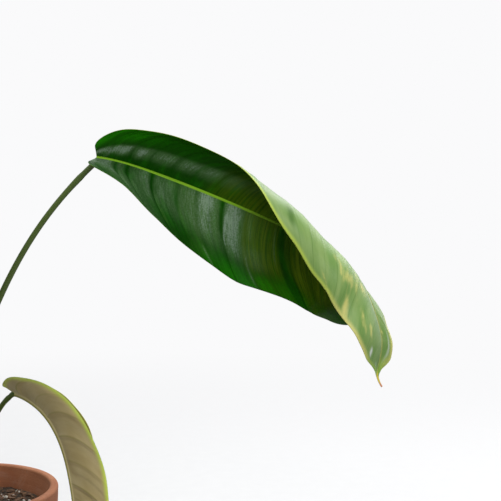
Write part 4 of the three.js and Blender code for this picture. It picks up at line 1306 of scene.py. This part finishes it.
def bract(name, height, azimuth):
    pitch = [[0, SHEATH_LEAN], [0.6, SHEATH_LEAN - 8], [1, SHEATH_LEAN - 40]]
    return {**PLAIN, **both_halves(fold=[[0, 30], [1, 12]], curl=[[0, 5], [1, 3]]),
            "name": name, "node": height, "azimuth": azimuth, "base": [7.4, 0, 1], "length": 62,
            "half_width": 5, "left": SHEATH_WIDTH, "right": SHEATH_WIDTH, "pitch": pitch,
            "wave": 0.6, "waves": 2, "veins": 4}


def sheath_finish():
    f = Finish("dry_sheath")
    fibres = f.drawn_noise(out=2.4, row=3, detail=5)
    brown = f.blend(f.remap(fibres, 0.35, 0.65), PAPER_DARK, PAPER_LIGHT)
    brown = f.blend(f.ramp("row", 0.0, 0.5, 0.6, 0), brown, PAPER_FOOT)
    skin = f.surface(Base_Color=brown, Roughness=0.7, Normal=f.bump(fibres, 0.0006))
    return f.finish_thin(skin, 0.15, (0.5, 0.3, 0.12, 1))


dry = sheath_finish()
for name, height, azimuth in (("sheath_1", 219, 82), ("sheath_2", 241, 216)):
    piece = blade_piece(bract(name, height, azimuth), row_count=60, half_columns=12)
    piece.name = name + "_fine"
    settle(piece, name, "sheath", dry, dry, dry)

# %% [markdown]
# ## The clay pot
#
# A plain flowerpot is pressed or thrown, so it is a turned shape: a tapering wall, a rim band
# that stiffens it, a flat floor with drain holes, and no sharp edge anywhere. We turn a profile
# with many points on its rounded edges, let the wall waver by fractions of a millimetre as fired
# clay does, and drill the holes with a boolean modifier.

# %% Draw the pot's profile
POT = dict(height=130, foot_radius=50, rim_radius=75, shoulder_radius=66, wall=6, floor=8,
           band_height=28, edge=1.5, drains=3, drain_radius=6, drain_circle=22)
INSIDE = dict(foot=POT["foot_radius"] - POT["wall"] + 1,
              shoulder=POT["shoulder_radius"] - POT["wall"],
              rim=POT["rim_radius"] - POT["wall"] - 1)
BAND_FOOT = POT["height"] - POT["band_height"]


def corner(centre, radius, start, end, count=7):
    """Points round a corner, by angles in degrees, in the plane of radius and height."""
    angle = np.radians(np.linspace(start, end, count))
    return np.stack([centre[0] + radius * np.cos(angle), centre[1] + radius * np.sin(angle)], 1)


def wall(start, end, step=1.0):
    start, end = np.array(start, float), np.array(end, float)
    count = max(2, int(np.linalg.norm(end - start) / step))
    return start + (end - start) * np.linspace(0, 1, count, endpoint=False)[1:, None]


def pot_profile():
    height, edge = POT["height"], POT["edge"]
    foot, rim, shoulder = POT["foot_radius"], POT["rim_radius"], POT["shoulder_radius"]
    parts = [
        wall((0, 0), (foot - edge, 0), 6),
        corner((foot - edge, edge), edge, -90, 8),
        wall((foot + 0.1, edge + 0.3), (shoulder - 0.5, BAND_FOOT - 2.2)),
        corner((shoulder + 1.2, BAND_FOOT - 1.4), 1.4, 180, 95),
        wall((shoulder + 1.6, BAND_FOOT), (rim - 3, BAND_FOOT + 0.2), 2),
        corner((rim - 2.4, BAND_FOOT + 1.8), 1.5, -90, 0),
        wall((rim - 0.95, BAND_FOOT + 3), (rim, height - 2.4)),
        corner((rim - 2.2, height - 2.2), 2.2, 4, 90),
        corner((INSIDE["rim"] + 2.1, height - 2.2), 2.2, 95, 176),
        wall((INSIDE["rim"], height - 3), (INSIDE["shoulder"], BAND_FOOT)),
        wall((INSIDE["shoulder"], BAND_FOOT), (INSIDE["foot"], POT["floor"] + edge), 4),
        corner((INSIDE["foot"] - edge, POT["floor"] + edge), edge, 0, -90),
        wall((INSIDE["foot"] - edge, POT["floor"]), (0, POT["floor"]), 6),
    ]
    return np.vstack(parts)


print("The pot's profile has", len(pot_profile()), "points")

# %% Turn the pot
def turned_piece(name, profile, sides, waver=0.0):
    """A closed turned mesh whose profile starts and ends near the axis."""
    angle = turn_angles(sides)
    radius, height = profile[:, :1], profile[:, 1:]
    uneven = waver * (np.sin(height / 2.1 + 0.6 * np.sin(3 * angle)) * np.sin(height / 13)
                      + 0.8 * np.sin(2 * angle + height / 60))
    radius = radius + uneven * smooth_step(radius, 30, 45)
    x, y = radius * np.cos(angle), radius * np.sin(angle)
    points = np.stack([x, y, np.broadcast_to(height, x.shape)], axis=-1).reshape(-1, 3)
    grid, ahead, faces = ring_faces(len(profile), sides)
    first, last = len(points), len(points) + 1
    faces += [[first, ahead[0, j], grid[0, j]] for j in range(sides)]
    faces += [[last, grid[-1, j], ahead[-1, j]] for j in range(sides)]
    ends = [[0, 0, profile[0, 1]], [0, 0, profile[-1, 1]]]
    return new_piece(name, np.vstack([points, ends]), faces)


pot_piece = turned_piece("pot_fine", pot_profile(), 144, waver=0.12)
print("The turned pot has", len(pot_piece.data.polygons), "faces")

# %% [markdown]
# ## Drain holes
#
# Water leaves a pot by holes in its floor. They are pressed through wet clay, which leaves a
# small flare at the outer end. A boolean modifier cuts them with drills of that shape. Modelling
# the holes into the floor's faces by hand would break up its clean rings.

# %% Drill the drain holes
def drill(piece, drills):
    """Cuts the drills out of a piece and removes them."""
    for cutter in drills:
        cut = piece.modifiers.new("drill", "BOOLEAN")
        cut.object = cutter
        cut.operation = "DIFFERENCE"
        cut.solver = "MANIFOLD"
    evaluated = piece.evaluated_get(bpy.context.evaluated_depsgraph_get())
    drilled = bpy.data.meshes.new_from_object(evaluated)
    drilled.materials.clear()
    piece.modifiers.clear()
    piece.data = drilled
    for cutter in drills:
        bpy.data.objects.remove(cutter)


DRILL_HEIGHTS = (-4, 0, 1, 2, 5, 8, 12)
DRILL_FLARE = 1.2 * np.exp(-(np.array([0, 1, 2, 4, 6, 7, 8]) / 1.1) ** 2)
drills = []
for i in range(POT["drains"]):
    turn = 2 * math.pi * i / POT["drains"]
    centre = POT["drain_circle"] * np.array([math.cos(turn), math.sin(turn), 0])
    line = centre + np.array([[0, 0, z] for z in DRILL_HEIGHTS], float)
    skin = round_skin(line, (POT["drain_radius"] + DRILL_FLARE)[:, None], 32)
    drills.append(round_piece(f"drill_{i}", [skin]))
drill(pot_piece, drills)
print("The drilled pot has", len(pot_piece.data.polygons), "faces")

# %% [markdown]
# ## Fired clay
#
# Fired clay is warm and chalky. Water that soaks through leaves a pale bloom of salts, mostly
# low on the wall and under the rim, and the clay is darker where it stays damp. All of it is
# noise in the pot's own coordinates, with height deciding how much of each shows.

# %% Mix the clay
CLAY_DARK, CLAY_LIGHT = (0.36, 0.13, 0.06, 1), (0.52, 0.22, 0.11, 1)
GRIT, DAMP_CLAY, SALTS = (0.2, 0.08, 0.045, 1), (0.2, 0.075, 0.035, 1), (0.62, 0.5, 0.42, 1)


def clay_finish():
    f = Finish("fired_clay")
    where = f.object_place()
    height = f.add("SeparateXYZ", {0: where}, output=2)
    broad = f.noise(where, scale=14, detail=4)
    clay = f.blend(f.remap(broad, 0.35, 0.68), CLAY_DARK, CLAY_LIGHT)
    specks = f.noise(where, scale=900, detail=2)
    clay = f.blend(f.remap(specks, 0.6, 0.72, 0, 0.5), clay, GRIT)
    damp = f.times(f.remap(height, 0.012, 0.06, 0.75, 0), f.remap(broad, 0.3, 0.6))
    clay = f.blend(damp, clay, DAMP_CLAY)
    cloud = f.noise(where, scale=32, detail=6, roughness=0.65, distortion=0.4)
    low_bloom = f.remap(height, 0.03, 0.085, 1, 0.15)
    clay = f.blend(f.times(f.remap(cloud, 0.5, 0.66, 0, 0.62), low_bloom), clay, SALTS)
    pits = f.noise(where, scale=1300, detail=4, roughness=0.7)
    drag = f.noise(f.add("Mapping", {"Vector": where, "Scale": (8, 8, 700)}), detail=3)
    marks = f.calc("ADD", pits, f.times(drag, 0.7))
    return f.finish(f.surface(Base_Color=clay, Roughness=f.remap(cloud, 0.3, 0.7, 0.82, 0.95),
                              Normal=f.bump(marks, 0.0005)))


settle(pot_piece, "pot", "clay", clay_finish())

# %% [markdown]
# ## Bark mix
#
# Aroids grow in a loose mix: dark peat and coir, chips of pine bark and pale pumice. The bed is a
# turned mesh with two scales of relief, and fills the pot to a little below the rim. A displace
# modifier could raise it, but then the chips couldn't ask how high it lies.

# %% Lay the bed
SOIL = dict(level=SOIL_LEVEL, relief=1.8, calm=18)
CLEARANCE = 0.3


def inside_radius(height):
    if height < BAND_FOOT:
        ends = (POT["floor"] + POT["edge"], BAND_FOOT), (INSIDE["foot"], INSIDE["shoulder"])
    else:
        ends = (BAND_FOOT, POT["height"] - POT["edge"]), (INSIDE["shoulder"], INSIDE["rim"])
    return float(np.interp(height, *ends))


def bed_height(x, y):
    """The bed's height over its level: the solid's own bumps, and finer ones."""
    broad = np.sin(x / 7 + 1) * np.cos(y / 6) + 0.6 * np.sin(x / 3.1 - y / 4.3)
    radius = np.hypot(x, y)
    open_ground = smooth_step(radius, SOIL["calm"] - 6, SOIL["calm"] + 4)
    fine = [noise.fractal(Vector((a / 5, b / 5, 3)), 0.8, 2.2, 4) for a, b in zip(x, y)]
    return 0.5 * SOIL["relief"] * broad * open_ground + 0.9 * np.array(fine) - 0.3


def bed_piece():
    edge = inside_radius(SOIL["level"]) - CLEARANCE
    hole = STEM["radius"] + CLEARANCE
    inner = STEM["foot"] - CLEARANCE
    floor_level = POT["floor"] + CLEARANCE
    profile = np.vstack([
        wall((0, floor_level), (INSIDE["foot"] - POT["edge"], floor_level), 10),
        [[INSIDE["foot"] - CLEARANCE, POT["floor"] + POT["edge"] + CLEARANCE]],
        [[inside_radius(BAND_FOOT) - CLEARANCE, BAND_FOOT]],
        [[edge, SOIL["level"] - 1]],
        wall((edge, SOIL["level"]), (hole, SOIL["level"]), 0.75),
        [[hole, SOIL["level"]], [hole, inner], [1, inner]],
    ])
    piece = turned_piece("soil_fine", profile, 200)
    place = np.array([v.co for v in piece.data.vertices]) / MM
    on_top = (np.abs(place[:, 2] - SOIL["level"]) < 0.01)
    radius = np.hypot(place[:, 0], place[:, 1])
    rise = bed_height(place[:, 0], place[:, 1]) * smooth_step(radius, hole, hole + 2)
    rise *= 1 - smooth_step(radius, edge - 2, edge)
    place[:, 2] += np.where(on_top, rise, 0)
    piece.data.vertices.foreach_set("co", (place * MM).ravel())
    return piece


bed = bed_piece()
print("The bed has", len(bed.data.polygons), "faces")

# %% [markdown]
# ## Chips and grains
#
# The chips and grains are hulls round a few random points, because broken bark and crushed stone
# are just that: convex scraps with flat breaks. They lie in the bed, sunk by a third. All bits of
# a kind make one piece, which is far lighter than hundreds of objects. The draws are seeded, so
# the bed comes out the same each time.

# %% Scatter bark and pumice
SPIN = np.random.default_rng(7)
SCATTER = dict(inner=9, outer=59.0, corners=14, tilt=0.3)


def hulls(name, count, sizes, flatness):
    """A piece of many broken bits on the bed: each is the hull of a few random points."""
    bits = bmesh.new()
    for _ in range(count):
        size = SPIN.uniform(*sizes)
        away = math.sqrt(SPIN.uniform(SCATTER["inner"] ** 2, SCATTER["outer"] ** 2))
        turn = SPIN.uniform(0, 2 * math.pi)
        x, y = away * math.cos(turn), away * math.sin(turn)
        stretch = np.array([1, SPIN.uniform(0.55, 0.9), SPIN.uniform(*flatness)]) * size
        corners = SPIN.normal(size=(SCATTER["corners"], 3))
        corners /= np.linalg.norm(corners, axis=1, keepdims=True)
        tilt = Matrix.Rotation(SPIN.uniform(0, 6.3), 3, "Z") @ Matrix.Rotation(
            SPIN.normal(0, SCATTER["tilt"]), 3, "X")
        level = SOIL["level"] + float(bed_height(np.array([x]), np.array([y]))[0])
        centre = Vector((x, y, level + 0.15 * stretch[2]))
        verts = [bits.verts.new((tilt @ Vector(point * stretch / 2) + centre) * MM)
                 for point in corners]
        made = bmesh.ops.convex_hull(bits, input=verts)
        loose = [v for v in made["geom_interior"] if isinstance(v, bmesh.types.BMVert)]
        bmesh.ops.delete(bits, geom=loose, context="VERTS")
    mesh = bpy.data.meshes.new(name)
    bits.to_mesh(mesh)
    bits.free()
    return add_object(name, mesh)


bark = hulls("bark_chips", 420, sizes=(3, 11), flatness=(0.25, 0.5))
pumice = hulls("pumice_grains", 150, sizes=(1.8, 4.5), flatness=(0.7, 1))
print("Bark", len(bark.data.polygons), "and pumice", len(pumice.data.polygons), "faces")

# %% [markdown]
# ## Peat, bark and pumice
#
# All three are matt and grainy, and differ in colour, in the size of the grain and in its depth.
# So one small recipe mixes them all.

# %% Finish the bed
def ground_finish(name, dark, light, scale, depth):
    f = Finish(name)
    grain = f.noise(f.object_place(), scale=scale, detail=6, roughness=0.7)
    tone = f.blend(f.remap(grain, 0.35, 0.66), dark, light)
    return f.finish(f.surface(Base_Color=tone, Roughness=0.9, Normal=f.bump(grain, depth)))


peat = ground_finish("peat", (0.018, 0.011, 0.007, 1), (0.085, 0.052, 0.03, 1), 520, 0.002)
pine = ground_finish("pine_bark", (0.05, 0.024, 0.013, 1), (0.2, 0.105, 0.055, 1), 380, 0.0012)
stone = ground_finish("pumice", (0.45, 0.41, 0.35, 1), (0.75, 0.72, 0.66, 1), 700, 0.0008)
for piece, finish in ((bed, peat), (bark, pine), (pumice, stone)):
    settle(piece, "soil", "soil", finish)

# %% [markdown]
# ## The size of it all
#
# The fine meshes have to fill the same box as the solids, or the plant would be out of scale
# with its own collision shape.
